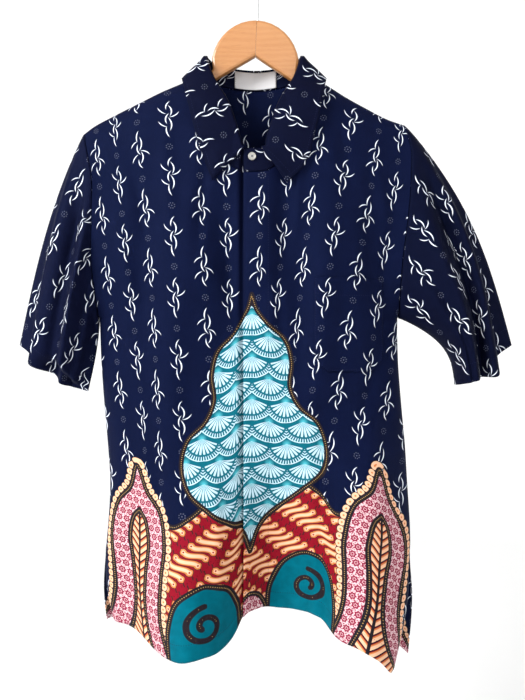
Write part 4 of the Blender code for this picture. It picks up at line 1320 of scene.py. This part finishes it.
def border_colours(shader, colour, looks):
    """The border over the ground, one shape over the next."""
    p, q = kept_pair(shader, "border")
    flowers = flower_fill(p, q, looks)
    fills = {
        "ground": band_fill(p, q, looks),
        "side": flowers,
        "mound": (joined(p, q).noise(90.0) - 0.5).step(0.5).mix(looks["teal"], looks["deep_teal"]),
        "foot": flowers,
        "arch": scale_fill(p, q, looks),
    }
    for name, fill in fills.items():
        distance, along = kept_pair(shader, name)
        if name == "side":
            colour = beads(colour, distance, along, looks)
        colour = (distance * -1.0).step(OUTLINE_SOFT).mix(colour, fill)
        if name == "side":
            inner = distance + SIDE_CORE
            colour = (inner * -1.0).step(OUTLINE_SOFT).mix(colour, feather_fill(p, q, looks))
            colour = edged(colour, inner, along, looks)
        if name == "mound":
            colour = edged(colour, *kept_pair(shader, "curl"), looks)
        colour = edged(colour, distance, along, looks)
    return colour


# ---------------------------------------------------------------- materials
# The sleeves and the collar get darker, less blue copies of the navy: painted shade for the light they lose,
# darkest on the wearer's left sleeve, away from the key light.
SLEEVE_SHADE_TINTS = {"sleeve_right": (1.2, 0.94, 0.80), "sleeve_left": (0.84, 0.62, 0.54)}
COLLAR_SHADE_TINT = (0.9, 0.60, 0.52)
THREAD_PITCH = 0.00062  # of the plain weave


def cotton(shader, tint=(1.0, 1.0, 1.0), border=False):
    """Batik cotton: navy ground with uneven dye, white sprigs, faint rings, a plain weave."""
    looks = colours()
    # Painted shade: the tint darkens the navy grounds for the sleeves and the collar.
    for ground in ("navy", "navy_deep", "navy_pale"):
        looks[ground] = tinted(looks[ground], tint)
    across, down = Value(add_node(shader.id_data, "ShaderNodeUVMap", uv_map="print").outputs[0]).parts()[:2]
    x, y = across * PRINT_PITCH, down * PRINT_PERIOD
    flat = joined(x, y)
    leaves, rings = sprig_cover(across, down)
    colour = flat.noise(28.0, 4.0, 0.6).mix(looks["navy_deep"], looks["navy"])
    colour = ((flat.noise(900.0, 2.0) - 0.62).step(0.2) * 0.25).mix(colour, looks["navy_pale"])
    colour = (rings.step(0.5) * 0.34).mix(colour, looks["ring"])
    colour = layered(colour, leaves, looks, ("leaf_edge", -0.38, 0.5), ("white", 0.0, 0.45))
    if border:
        colour = border_colours(shader, colour, looks)
    turn = 2 * math.pi / THREAD_PITCH
    weave = compute("SINE", x * turn) * compute("SINE", y * turn)
    bumped(shader, weave * 0.06 + flat.noise(45.0, 3.0, 0.55) * 1.6, strength=0.5, distance=0.0006)
    dress(shader, {"Base Color": colour, "Roughness": 0.72, "Specular IOR Level": 0.10,
                   "Specular Tint": looks["sheen"]})


def bordered_cotton():
    """The cotton of the fronts and the back."""
    return material("batik cotton with border", cotton, (1.0, 1.0, 1.0), True)


def thread(shader):
    """Sewing thread, a little uneven."""
    dark = colours()["thread"]
    pale = blend((dark, 1.6), ((1.0, 1.0, 1.0), 0.002))
    colour = object_place(shader).noise(900.0).mix(dark, pale)
    dress(shader, {"Base Color": colour, "Roughness": 0.8, "Specular IOR Level": 0.12})


def pearl(shader):
    """Pale button with cloudy layers under a glossy face and four dark holes."""
    looks = colours()
    cloud = object_place(shader).noise(420.0, 4.0).mix(blend((looks["pearl"], 0.5)), looks["pearl"])
    aside, up = (abs(way) - BUTTON_HOLE for way in kept_pair(shader, "face"))
    colour = (HOLE_RADIUS - hypotenuse(aside, up)).step(0.0002).mix(cloud, looks["thread"])
    dress(shader, {"Base Color": colour, "Roughness": 0.22, "Coat Weight": 0.4, "Coat Roughness": 0.12})


def label_cloth(shader):
    """Bare white woven label: a satin weave with fine ribs across."""
    label = colours()["label"]
    x, _, z = object_place(shader).parts()
    ribs = compute("SINE", z * (2 * math.pi / 0.0007))
    threads = compute("SINE", x * (2 * math.pi / 0.0005))
    tone = ribs * threads * 0.12 + 0.5
    bumped(shader, tone, strength=0.4, distance=0.0003)
    colour = tone.mix(blend((label, 0.72)), label)
    dress(shader, {"Base Color": colour, "Roughness": 0.5, "Sheen Weight": 0.2})


def wood(shader, slope, shift):
    """Lacquered pale wood: long grain lines that lie along the arm and wander a little."""
    tree = shader.id_data
    turned = {"Vector": object_place(shader), "Location": (shift, 0.3 * shift, shift),
              "Rotation": (0.0, slope, 0.0), "Scale": (0.09, 0.7, 1.0)}
    along = Value(add_node(tree, "ShaderNodeMapping", turned).outputs[0])
    waves = {"Vector": along, "Scale": 46.0, "Distortion": 7.0, "Detail": 3.0, "Detail Scale": 1.2}
    made = add_node(tree, "ShaderNodeTexWave", waves, wave_type="BANDS", bands_direction="Z")
    bands = Value(made.outputs["Fac"])
    pores = along.noise(900.0, 2.0)
    tone = bands * 0.45 + along.noise(24.0, 3.0) * 0.55
    pale = colours()["wood"]
    colour = tone.mix(tinted(pale, (0.86, 0.76, 0.66)), pale)
    colour = ((pores - 0.60).step(0.1) * 0.35).mix(colour, tinted(pale, (0.70, 0.58, 0.46)))
    bumped(shader, pores * -0.5 + tone, strength=0.25, distance=0.0004)
    dress(shader, {"Base Color": colour, "Roughness": 0.38, "Coat Weight": 0.25, "Coat Roughness": 0.2})


def steel(shader):
    """Bright drawn wire with faint marks along it."""
    bright = colours()["steel"]
    marks = object_place(shader).noise(700.0, 2.0)
    dress(shader, {"Base Color": marks.mix(blend((bright, 0.65)), bright), "Metallic": 1.0,
                   "Roughness": marks * 0.2 + 0.16})


def floor_paint(shader):
    """Pale matt floor."""
    colour = object_place(shader).noise(3.0).mix((0.96, 0.96, 0.955), (0.98, 0.98, 0.975))
    dress(shader, {"Base Color": colour, "Roughness": 0.9})


# ---------------------------------------------------------------- meshes
def grid_faces(rows, columns, around=False):
    """Corner numbers of a grid's faces: each goes down, across and back up."""
    last = columns if around else columns - 1
    row, column = np.meshgrid(np.arange(rows - 1) * columns, np.arange(last), indexing="ij")
    after = (column + 1) % columns
    below = row + columns
    return np.stack([row + column, below + column, below + after, row + after], -1).reshape(-1, 4)


def tubes(name, rings):
    """Mesh of closed tubes; the array's axes are tube, ring, corner and place."""
    number, count, sides = rings.shape[:3]
    faces = grid_faces(count, sides, around=True)[:, [0, 3, 2, 1]].tolist()
    faces += [list(range(sides))[::-1], list(range((count - 1) * sides, count * sides))]
    starts = range(0, number * count * sides, count * sides)
    mesh = bpy.data.meshes.new(name)
    every = [[start + corner for corner in face] for start in starts for face in faces]
    mesh.from_pydata(rings.reshape(-1, 3), [], every)
    return mesh


def keep_pair(mesh, name, first, second):
    """Keeps a pair of lengths on the mesh's points."""
    values = np.stack([first, second, 0 * first], -1).astype(np.float32)
    mesh.attributes.new(name, "FLOAT_VECTOR", "POINT").data.foreach_set("vector", values.ravel())


def show(mesh, paint, sharp_degrees=None):
    """Object at the origin that shows the mesh."""
    mesh.materials.append(paint)
    mesh.shade_smooth()
    if sharp_degrees:
        mesh.set_sharp_from_angle(angle=math.radians(sharp_degrees))
    made = bpy.data.objects.new(mesh.name, mesh)
    bpy.context.scene.collection.objects.link(made)
    return made


def settle(made, slot, *nodes):
    """The piece rides on the part and stands for its nodes, which it hides. The slot is not used."""
    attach(made, "root")
    if nodes:
        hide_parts(*nodes)


def cloth(node, points, paint, print_at, around=False, fields=None, thickness=None, below=None,
          slot="batik_cotton"):
    """Shell about a grid of points in place of its solid, with the print's places as its UV map.

    Where the grid goes round, its last column joins its first, and print_at has one more
    column than the points, so that the print runs on to the seam. "below" holds other
    places and the faces that take them.
    """
    rows, columns = points.shape[:2]
    mesh = bpy.data.meshes.new(f"{node}_cloth")
    mesh.from_pydata(points.reshape(-1, 3), [], grid_faces(rows, columns, around).tolist())
    corners = grid_faces(rows, print_at.shape[1]).ravel()
    places = print_at.reshape(-1, 2)[corners]
    if below:
        places = np.where(np.repeat(below[1].ravel(), 4)[:, None], below[0].reshape(-1, 2)[corners], places)
    mesh.uv_layers.new(name="print").data.foreach_set("uv", places.astype(np.float32).ravel())
    for name, values in (fields or {}).items():
        keep_pair(mesh, name, *values)
    made = show(mesh, paint)
    solid = made.modifiers.new("Cloth thickness", "SOLIDIFY")
    solid.thickness = thickness or bpy.context.scene.shirt_sizes.shell
    solid.offset = 0.0
    settle(made, slot, node)


# ---------------------------------------------------------------- sewing
STITCH_SIDES = 6
# Rings of a stitch: where along it, how wide and how far out, as shares of its length
# and radius. Its ends dip into the cloth, so that the thread looks pulled in.
STITCH_RINGS = table(
    "share_along  share_wide  share_out",
    (-0.5, 0.45, -0.9),
    (-0.2, 1.0, 0.0),
    (0.2, 1.0, 0.0),
    (0.5, 0.45, -0.9),
)
STITCH_LOOK = 0.0005  # how far ahead and behind a stitch its direction is read


def facing(points):
    """Unit normals of a grid, by the cross product of its columns' and rows' directions."""
    return unit(np.cross(np.gradient(points, axis=0), np.gradient(points, axis=1)))


def facing_y(points, way):
    """The same, turned to the front (-1) or the back (1)."""
    normals = facing(points)
    return normals * np.sign(normals[..., 1:2]) * way


def facing_out(points):
    """The same for a tube, turned away from its middle."""
    normals = facing(points)
    return normals * np.sign(((points - points.mean(axis=1, keepdims=True)) * normals).sum())


def read_line(run, values, at):
    """Points or normals along a line, read at these lengths."""
    return np.stack([np.interp(at, run, part) for part in values.T], -1)


def sewing(name, lines, pitch=None, length=None, radius=None):
    """Rows of stitches: each is a short six-sided spindle lying along its line."""
    sizes = bpy.context.scene.shirt_sizes
    pitch = pitch or sizes.stitch_pitch
    stations, widths, lifts = (values[:, None] for values in STITCH_RINGS.values())
    stations = stations * (length or sizes.stitch)
    widths = widths * (radius or sizes.thread)
    lifts = lifts * (radius or sizes.thread)
    turns = np.arange(STITCH_SIDES)[:, None] * 2 * math.pi / STITCH_SIDES
    stitches = []
    for points, normals in lines:
        run = lengths_along(points)
        count = max(int(run[-1] / pitch), 1)
        at = (np.arange(count) + 0.5) * run[-1] / count
        way = unit(read_line(run, points, at + STITCH_LOOK) - read_line(run, points, at - STITCH_LOOK))
        out = read_line(run, normals, at)
        out = unit(out - (out * way).sum(-1, keepdims=True) * way)
        side = np.cross(way, out)
        middle = read_line(run, points, at)[:, None] + way[:, None] * stations + out[:, None] * lifts
        ring = out[:, None, None] * np.cos(turns) + side[:, None, None] * np.sin(turns)
        stitches.append(middle[:, :, None] + ring * widths[:, None])
    settle(show(tubes(name, np.concatenate(stitches)), material("navy thread", thread)), "batik_cotton")


def raised(points, normals, lift):
    """A line moved out from the cloth's middle to its outer face, and its normals."""
    return points + normals * lift, normals


def hem_line(points, normals, height, lift):
    """Stitched line a given height above a hem, read between the grid's rows."""
    down = lengths_along(points)
    columns = np.arange(points.shape[1])
    rows = np.array([np.interp(down[-1, c] - height, down[:, c], np.arange(len(points))) for c in columns])
    low = np.floor(rows).astype(int)
    share = (rows - low)[:, None]
    line = points[low, columns] * (1 - share) + points[np.minimum(low + 1, len(points) - 1), columns] * share
    return raised(line, normals[low, columns], lift)


# ---------------------------------------------------------------- the pieces
PLACKET_START_ROW = 4
SEAM_END_ROWS = 3  # rows left unsewn at a line's foot
COLLAR_SEAM_COLUMN = 2
COLLAR_SEAM_ROW = 4
LABEL_STITCH = {"pitch": 0.0026, "length": 0.0018, "radius": 0.0002}
BUTTON_THREAD = 0.0003
SHARP_EDGE = 60  # degrees
FORWARD = (0.0, -1.0, 0.0)


def make_fronts():
    """Both fronts, with the border, and their hem and placket stitches."""
    sizes = bpy.context.scene.shirt_sizes
    lines = []
    for node, side in zip(FRONTS, INNER_X):
        points = front_grid(side)
        dip = underlap(points[..., 0], -points[..., 2]) if side == "left" else 0.0
        fields = border_fields(points, dip, "front")
        cloth(node, points, bordered_cotton(), print_front(points, over_shoulder(points)), fields=fields)
        normals = facing_y(points, -1.0)
        lines.append(hem_line(points, normals, sizes.hem, sizes.shell / 2))
    column = int(np.argmin(np.abs(points[0, :, 0] - INNER_X["right"] - sizes.placket)))
    rows = slice(PLACKET_START_ROW, -SEAM_END_ROWS)
    lines.append(raised(points[rows, column], normals[rows, column], sizes.shell / 2))
    sewing("front_stitches", lines)


def make_back():
    """The back, with the border, and its hem stitches."""
    sizes = bpy.context.scene.shirt_sizes
    points = back_grid()
    cloth("back", points, bordered_cotton(), print_back(points), fields=border_fields(points, 0.0, "back"))
    sewing("back_stitches", [hem_line(points, facing_y(points, 1.0), sizes.hem, sizes.shell / 2)])


def sleeve_prints(name, points, side):
    """Column and sprig numbers round a sleeve whose ring starts at the underarm.

    Also those that hold below its deep fold, and the faces that lie there.
    """
    closed = np.concatenate([points, points[:, :1]], axis=1)
    laid = enumerate(PRINT_TURNS[side])
    prints = [round_print(closed, SLEEVE_PRINTS[name], row, side, turn) for row, turn in laid]
    if len(prints) == 1:
        return prints[0], None
    rows, columns = points.shape[:2]
    turns = (np.arange(columns) + 0.5) / columns - 0.5
    shares = (np.arange(rows - 1) + 0.5) / (rows - 1)
    return prints[0], (prints[1], turns > fold_turn(*DEEP_FOLD, shares[:, None]))


def make_sleeves():
    """Both sleeves, each a tube from its armhole to a stitched cuff hem."""
    sizes = bpy.context.scene.shirt_sizes
    lines = []
    for node, shape in SLEEVES.items():
        points = sleeve_grid(**shape)
        points = np.roll(points, points.shape[1] // 2, axis=1)
        at, below = sleeve_prints(node, points, shape["side"])
        # Painted shade: each sleeve's navy is tinted darker and less blue.
        paint = material(f"{node} cotton", cotton, SLEEVE_SHADE_TINTS[node])
        cloth(node, points, paint, at, around=True, below=below)
        lines.append(hem_line(points, facing_out(points), sizes.cuff, sizes.shell / 2))
    sewing("sleeve_stitches", lines)


def stand_print(points):
    """Column and sprig numbers along the stand and up it, and flat on its front tabs."""
    own = pair(lengths_along(points, 1) / PRINT_PITCH, lengths_along(points) / PRINT_PERIOD)
    behind = own + STAND_PRINT_START
    front = ease((np.abs(fold_angles()) - TAB_ANGLE) / TAB_BLEND)[:, None]
    return behind * (1 - front) + pair(*flat_print(points, STAND_PRINT, 0, 1)[:2]) * front


def collar_print(points):
    """Column and sprig numbers on the fall: flat on its leaves, by its own lengths behind.

    Behind the neck the numbers are moved on evenly, to meet both leaves at the shoulders.
    """
    middle = points.shape[0] // 2
    own = pair(-lengths_along(points, 1)[middle] / PRINT_PITCH, lengths_along(points) / PRINT_PERIOD)
    angles = fall_angles()
    leaves, moves = [], []
    for name, side in (("left", -1), ("right", 1)):
        flat = pair(*flat_print(points, LEAF_PRINTS[name], 0, side)[:2])
        column = int(np.argmin(np.abs(angles - 90 * side)))
        move = flat[middle, column] - own[middle, column]
        whole = np.array([2.0, 1.0]) * np.round((move - (moves or [move])[0]) / (2.0, 1.0))
        leaves.append(flat - whole)
        moves.append(move - whole)
    share = ease((angles + 90) / 180)[:, None]
    behind = own + moves[0] * (1 - share) + moves[1] * share
    leaf_at = np.where((angles < 0)[:, None], *leaves)
    laid = ease((np.abs(angles) - LEAF_ANGLE) / LEAF_BLEND)[:, None]
    return leaf_at * laid + behind * (1 - laid)


def make_collar():
    """Stand and turned-down fall, with a row of stitches near the fall's edge."""
    sizes = bpy.context.scene.shirt_sizes
    thick = sizes.collar_shell
    # Painted shade: the collar's navy is tinted darker and less blue.
    paint = material("collar cotton", cotton, COLLAR_SHADE_TINT)
    stand = stand_grid()
    cloth("collar_stand", stand, paint, stand_print(stand), thickness=thick)
    fall = fall_grid()
    cloth("collar_fall", fall, paint, collar_print(fall), thickness=thick)
    away = (fall - fall.mean(axis=(0, 1))) * (1.0, 1.0, 0.0)
    normals = facing(fall)
    normals *= np.sign((away * normals).sum(-1, keepdims=True))
    line, out = hem_line(fall, normals, sizes.collar_seam, thick / 2)
    lines = [(line[1:-1], out[1:-1])]
    rows = slice(COLLAR_SEAM_ROW, -SEAM_END_ROWS)
    for column in (COLLAR_SEAM_COLUMN, -1 - COLLAR_SEAM_COLUMN):
        lines.append(raised(fall[rows, column], normals[rows, column], thick / 2))
    sewing("collar_stitches", lines)


def make_pocket():
    """Patch pocket with matched print, stitched round its sides and foot and along its hem."""
    sizes = bpy.context.scene.shirt_sizes
    points = pocket_grid()
    cloth("chest_pocket", points, material("batik cotton", cotton), print_front(points))
    hem_row = round(POCKET_CELLS * sizes.pocket_hem / (POCKET["drop_foot"] - POCKET["drop_top"]))
    edges = (points[:-1, 1], points[-2, 1:-1], points[:-1, -2], points[hem_row])
    lines = [raised(edge, np.tile(FORWARD, (len(edge), 1)), sizes.shell / 2) for edge in edges]
    sewing("pocket_stitches", lines)


def make_label():
    """Bare woven label on the inside of the stand, sewn down at both ends."""
    points = label_grid()
    blank = np.zeros((*points.shape[:2], 2))
    paint = material("white label", label_cloth)
    cloth("neck_label", points, paint, blank, thickness=LABEL_CLOTH, slot="label_white")
    out = np.tile(FORWARD, (len(points), 1))
    lines = [raised(points[:, column], out, LABEL_CLOTH / 2) for column in (1, -2)]
    sewing("label_stitches", lines, **LABEL_STITCH)


def make_buttons():
    """Seven buttons of one size, each in place of its solid, with thread through its holes.

    A button is a profile turned about its axis. Every point keeps its place across and up
    from the middle, by which the holes are drawn.
    """
    lines = []
    turns = np.arange(BUTTON_TURNS)[:, None] * 2 * math.pi / BUTTON_TURNS
    radii, heights = (values[:, None, None] for values in BUTTON_PROFILE.values())
    for number in range(1, 2 + FLY_BUTTONS):
        name = f"button_{number}"
        node = frame["nodes"][name]
        corners = np.array([tuple(node.matrix_world @ v.co) for v in node.data.vertices])
        centre = corners.mean(axis=0)
        out = np.linalg.svd(corners - centre)[2][2]
        out = -out if out[1] > 0 else out
        upright = np.array([0.0, 0.0, 1.0])
        up = unit(upright - (upright @ out) * out)
        side = np.cross(up, out)
        centre = centre + out * (((corners - centre) @ out).min() + BUTTON_HEIGHT / 2)
        rings = centre + radii * BUTTON_RADIUS * (np.cos(turns) * side + np.sin(turns) * up)
        rings = rings + (heights - 0.5) * BUTTON_HEIGHT * out
        mesh = tubes(f"{name}_disc", rings[None])
        away = (rings - centre).reshape(-1, 3)
        keep_pair(mesh, "face", away @ side, away @ up)
        settle(show(mesh, material("pearl button", pearl), SHARP_EDGE), "button_shell", name)
        face = centre + out * (BUTTON_FACE - 0.5) * BUTTON_HEIGHT
        for slope in (1.0, -1.0):
            reach = (side + slope * up) * BUTTON_HOLE
            lines.append((np.stack([face - reach, face + reach]), np.stack([out, out])))
    length = 2 * math.sqrt(2) * BUTTON_HOLE
    sewing("button_threads", lines, pitch=1.1 * length, length=length, radius=BUTTON_THREAD)


def wire_rings(corners):
    """Circles carried along a smooth path in the plane y = 0, smaller towards its rounded end."""
    path = smooth_path(corners, WIRE_POINTS)
    way = unit(np.gradient(path, axis=0))
    aside = np.array([0.0, 1.0, 0.0])
    inward = np.cross(way, aside)[:, None]
    left = np.clip(np.linspace(lengths_along(corners)[-1], 0.0, WIRE_POINTS) / WIRE_RADIUS, 0.0, 1.0)
    radius = WIRE_RADIUS * np.sqrt(np.clip(1 - (1 - left) ** 2, 0.02, 1.0))
    turns = np.arange(WIRE_TURNS)[:, None] * 2 * math.pi / WIRE_TURNS
    return path[:, None] + radius[:, None, None] * (aside * np.cos(turns) + inward * np.sin(turns))


def make_hanger():
    """Finishes for the wooden halves, whose grain follows each arm, and a smooth wire hook."""
    for name, slope, shift in zip(ARMS, (-ARM_GRAIN, ARM_GRAIN), (0.37, 0.81)):
        materials = frame["nodes"][name].data.materials
        materials.clear()
        materials.append(material(f"{name} wood", wood, slope, shift))
    wire = tubes("hook_wire", wire_rings(hook_path())[None])
    paint = material("bright steel wire", steel)
    settle(show(wire, paint, SHARP_EDGE), "hook_steel", "hanger_hook")


# ---------------------------------------------------------------- stage
CAMERA_X = 0.0067
CAMERA_DROP = 0.517
SENSOR = 36.0
FLOOR_RADIUS = 3.6
FLOOR_BEND = 1.2  # radius of the curve up to the wall
FLOOR_WALL = 5.0
FLOOR_STEPS = 6
BEND_START = 0.1
FLOOR_BEND_STEPS = 14
FLOOR_TURNS = 64
LIGHTS = table(
    "x  y  z  width  height",
    (-2000, -1700, 800, 1300, 1300),
    (700, -2400, 500, 1600, 1600),
)
LIGHT_AIM = Vector((0.0, 0.0, -0.5))
ROOM_COLOUR = (0.98, 0.98, 1.0)


def floor_mesh(drop):
    """Round floor that curves up to a wall: a profile turned about the vertical."""
    curve = np.linspace(BEND_START, math.pi / 2, FLOOR_BEND_STEPS)
    flat = FLOOR_RADIUS - FLOOR_BEND
    level = np.linspace(0.0, flat, FLOOR_STEPS)
    reach = np.concatenate([level, flat + FLOOR_BEND * np.sin(curve), [FLOOR_RADIUS]])
    rise = np.concatenate([np.zeros(FLOOR_STEPS), FLOOR_BEND * (1 - np.cos(curve)), [FLOOR_WALL]])
    turns = np.arange(FLOOR_TURNS) * 2 * math.pi / FLOOR_TURNS
    reach = np.maximum(reach, 0.001)[:, None]
    mesh = bpy.data.meshes.new("pale_floor")
    points = place(reach * np.cos(turns), reach * np.sin(turns), (drop - rise)[:, None])
    faces = grid_faces(len(reach), FLOOR_TURNS, around=True)[:, ::-1]
    mesh.from_pydata(points.reshape(-1, 3), [], faces.tolist())
    return mesh


def add(name, data, location, turn):
    """A camera or a light in the scene."""
    made = bpy.data.objects.new(name, data)
    made.location = location
    made.rotation_euler = turn
    bpy.context.scene.collection.objects.link(made)
    return made


def make_stage():
    """Pale floor that curves up all round, soft lights and the camera."""
    scene = bpy.context.scene
    chosen = scene.shirt_stage
    show(floor_mesh(chosen.floor), material("pale floor", floor_paint))
    camera = bpy.data.cameras.new("camera")
    camera.sensor_fit = "VERTICAL"
    camera.sensor_height = SENSOR
    camera.lens = SENSOR * chosen.distance / chosen.picture
    scene.camera = add("camera", camera, (CAMERA_X, -chosen.distance, -CAMERA_DROP), (math.pi / 2, 0.0, 0.0))
    for x, y, z, width, height, power in zip(*LIGHTS.values(), (chosen.key, chosen.fill)):
        lamp = bpy.data.lights.new("soft box", "AREA")
        lamp.shape = "RECTANGLE"
        lamp.size = width
        lamp.size_y = height
        lamp.energy = power
        at = Vector((x, y, z))
        add("soft box", lamp, at, (LIGHT_AIM - at).to_track_quat("-Z", "Y").to_euler())
    world = bpy.data.worlds.new("soft room")
    world.use_nodes = True
    room = world.node_tree.nodes["Background"].inputs
    put(ROOM_COLOUR, room["Color"])
    put(chosen.room, room["Strength"])
    scene.world = world
    scene.view_settings.view_transform = "Standard"


# ---------------------------------------------------------------- properties
COLOUR_DEFAULTS = {
    "navy": ("Ground", "Indigo ground of the cotton", (0.0028, 0.0044, 0.0215)),
    "white": ("Sprigs", "White of the printed sprigs", (0.78, 0.83, 0.93)),
    "sheen": ("Sheen", "Tint of the light that the cotton's face throws back", (0.20, 0.38, 1.0)),
    "outline": ("Outlines", "Dark outlines of the border", (0.014, 0.010, 0.010)),
    "gold": ("Gold", "Fine dots and hairlines of the border", (0.40, 0.25, 0.080)),
    "pale_teal": ("Scales", "Turquoise of the scales", (0.060, 0.36, 0.42)),
    "bright_teal": ("Scale edges", "Deeper turquoise of the scales", (0.004, 0.095, 0.130)),
    "crimson": ("Bands", "Crimson ground of the slanting bands", (0.200, 0.0045, 0.010)),
    "orange": ("Orange", "Edges of the cream strokes", (0.50, 0.16, 0.045)),
    "cream": ("Cream", "Cream strokes and beads", (0.70, 0.41, 0.26)),
    "pink": ("Pale pink", "Ground of the small flowers", (0.64, 0.46, 0.475)),
    "rose": ("Rose", "The small flowers", (0.22, 0.018, 0.045)),
    "teal": ("Mounds", "Blue green of the mounds", (0.0, 0.107, 0.150)),
    "thread": ("Thread", "Sewing thread", (0.004, 0.006, 0.026)),
    "pearl": ("Buttons", "Palest part of the buttons", (0.36, 0.35, 0.32)),
    "label": ("Label", "Bare woven label", (0.63, 0.62, 0.63)),
    "wood": ("Wood", "Palest part of the hanger's wood", (0.410, 0.188, 0.063)),
    "steel": ("Hook", "Bright wire of the hook", (0.62, 0.63, 0.65)),
}
LENGTH_DEFAULTS = {
    "shell": ("Cloth", "Thickness of the modelled cloth", 0.0010),
    "collar_shell": ("Collar cloth", "Thickness of the modelled collar", 0.0015),
    "placket": ("Placket", "From the front edge to its stitched line", 0.032),
    "hem": ("Hem", "From the hem to its stitched line", 0.020),
    "cuff": ("Cuff hem", "From a sleeve's edge to its stitched line", 0.025),
    "collar_seam": ("Collar seam", "From the collar's edge to its stitched line", 0.005),
    "pocket_hem": ("Pocket hem", "From the pocket's mouth to its stitched line", 0.022),
    "stitch": ("Stitch", "Length of one stitch", 0.0022),
    "stitch_pitch": ("Stitch pitch", "From one stitch to the next", 0.0032),
    "thread": ("Thread", "Radius of the thread", 0.00026),
}


def colour_property(name, description, default):
    return FloatVectorProperty(name=name, description=description, default=default, size=3, min=0.0, max=1.0,
                               subtype="COLOR")


def length_property(name, description, default):
    return FloatProperty(name=name, description=description, default=default, min=0.0, unit="LENGTH",
                         subtype="DISTANCE", precision=5)


class ShirtColours(PropertyGroup):
    """Colours of the cloth, its print and the fittings."""

    __annotations__ = {key: colour_property(*row) for key, row in COLOUR_DEFAULTS.items()}


class ShirtSizes(PropertyGroup):
    """Sizes of the modelled cloth and its sewing."""

    __annotations__ = {key: length_property(*row) for key, row in LENGTH_DEFAULTS.items()}


class ShirtStage(PropertyGroup):
    """Floor, lights and camera."""

    floor: length_property("Floor", "Drop of the floor below the hook", 1.35)
    picture: length_property("Picture height", "Height that the camera takes in at the hanger", 0.952)
    distance: length_property("Distance", "From the camera to the hanger", 1.0)
    key: FloatProperty(name="Key light", description="Power of the large light at the upper left",
                       default=125.0, min=0.0, unit="POWER")
    fill: FloatProperty(name="Fill light", description="Power of the light at the right",
                        default=17.0, min=0.0, unit="POWER")
    room: FloatProperty(name="Room", description="Strength of the even light all round",
                        default=0.42, min=0.0)


# ---------------------------------------------------------------- operators and panel
class SHIRT_OT_fronts(Operator):
    """Dress both fronts"""

    bl_idname = "shirt.fronts"
    bl_label = "Fronts"

    def execute(self, context):
        make_fronts()
        return {"FINISHED"}


class SHIRT_OT_back(Operator):
    """Dress the back"""

    bl_idname = "shirt.back"
    bl_label = "Back"

    def execute(self, context):
        make_back()
        return {"FINISHED"}


class SHIRT_OT_sleeves(Operator):
    """Dress both sleeves"""

    bl_idname = "shirt.sleeves"
    bl_label = "Sleeves"

    def execute(self, context):
        make_sleeves()
        return {"FINISHED"}


class SHIRT_OT_collar(Operator):
    """Dress the collar's stand and fall"""

    bl_idname = "shirt.collar"
    bl_label = "Collar"

    def execute(self, context):
        make_collar()
        return {"FINISHED"}


class SHIRT_OT_pocket(Operator):
    """Dress the chest pocket"""

    bl_idname = "shirt.pocket"
    bl_label = "Pocket"

    def execute(self, context):
        make_pocket()
        return {"FINISHED"}


class SHIRT_OT_label(Operator):
    """Dress the neck label"""

    bl_idname = "shirt.label"
    bl_label = "Label"

    def execute(self, context):
        make_label()
        return {"FINISHED"}


class SHIRT_OT_buttons(Operator):
    """Dress the buttons and sew them on"""

    bl_idname = "shirt.buttons"
    bl_label = "Buttons"

    def execute(self, context):
        make_buttons()
        return {"FINISHED"}


class SHIRT_OT_hanger(Operator):
    """Dress the wooden hanger and its hook"""

    bl_idname = "shirt.hanger"
    bl_label = "Hanger"

    def execute(self, context):
        make_hanger()
        return {"FINISHED"}


class SHIRT_OT_stage(Operator):
    """Make the floor, the lights and the camera"""

    bl_idname = "shirt.stage"
    bl_label = "Stage"

    def execute(self, context):
        make_stage()
        return {"FINISHED"}


OPERATORS = (
    SHIRT_OT_fronts,
    SHIRT_OT_back,
    SHIRT_OT_sleeves,
    SHIRT_OT_collar,
    SHIRT_OT_pocket,
    SHIRT_OT_label,
    SHIRT_OT_buttons,
    SHIRT_OT_hanger,
    SHIRT_OT_stage,
)
GROUPS = {"shirt_colours": ShirtColours, "shirt_sizes": ShirtSizes, "shirt_stage": ShirtStage}


class SHIRT_PT_panel(Panel):
    """Lists the shirt's sizes, colours and makers in the 3D view's sidebar."""

    bl_idname = "SHIRT_PT_panel"
    bl_label = "Shirt"
    bl_space_type = "VIEW_3D"
    bl_region_type = "UI"
    bl_category = "Shirt"

    def draw(self, context):
        for name, group in GROUPS.items():
            column = self.layout.column()
            for key in group.__annotations__:
                column.prop(getattr(context.scene, name), key)
        for operator in OPERATORS:
            self.layout.operator(operator.bl_idname)


def register():
    for made in (*GROUPS.values(), *OPERATORS, SHIRT_PT_panel):
        bpy.utils.register_class(made)
    for name, group in GROUPS.items():
        setattr(bpy.types.Scene, name, PointerProperty(type=group))


def unregister():
    for name in GROUPS:
        delattr(bpy.types.Scene, name)
    for made in (SHIRT_PT_panel, *reversed(OPERATORS), *GROUPS.values()):
        bpy.utils.unregister_class(made)


def main():
    register()
    bpy.ops.shirt.fronts()
    bpy.ops.shirt.back()
    bpy.ops.shirt.sleeves()
    bpy.ops.shirt.collar()
    bpy.ops.shirt.pocket()
    bpy.ops.shirt.label()
    bpy.ops.shirt.buttons()
    bpy.ops.shirt.hanger()
    bpy.ops.shirt.stage()


if __name__ == "__main__":
    main()
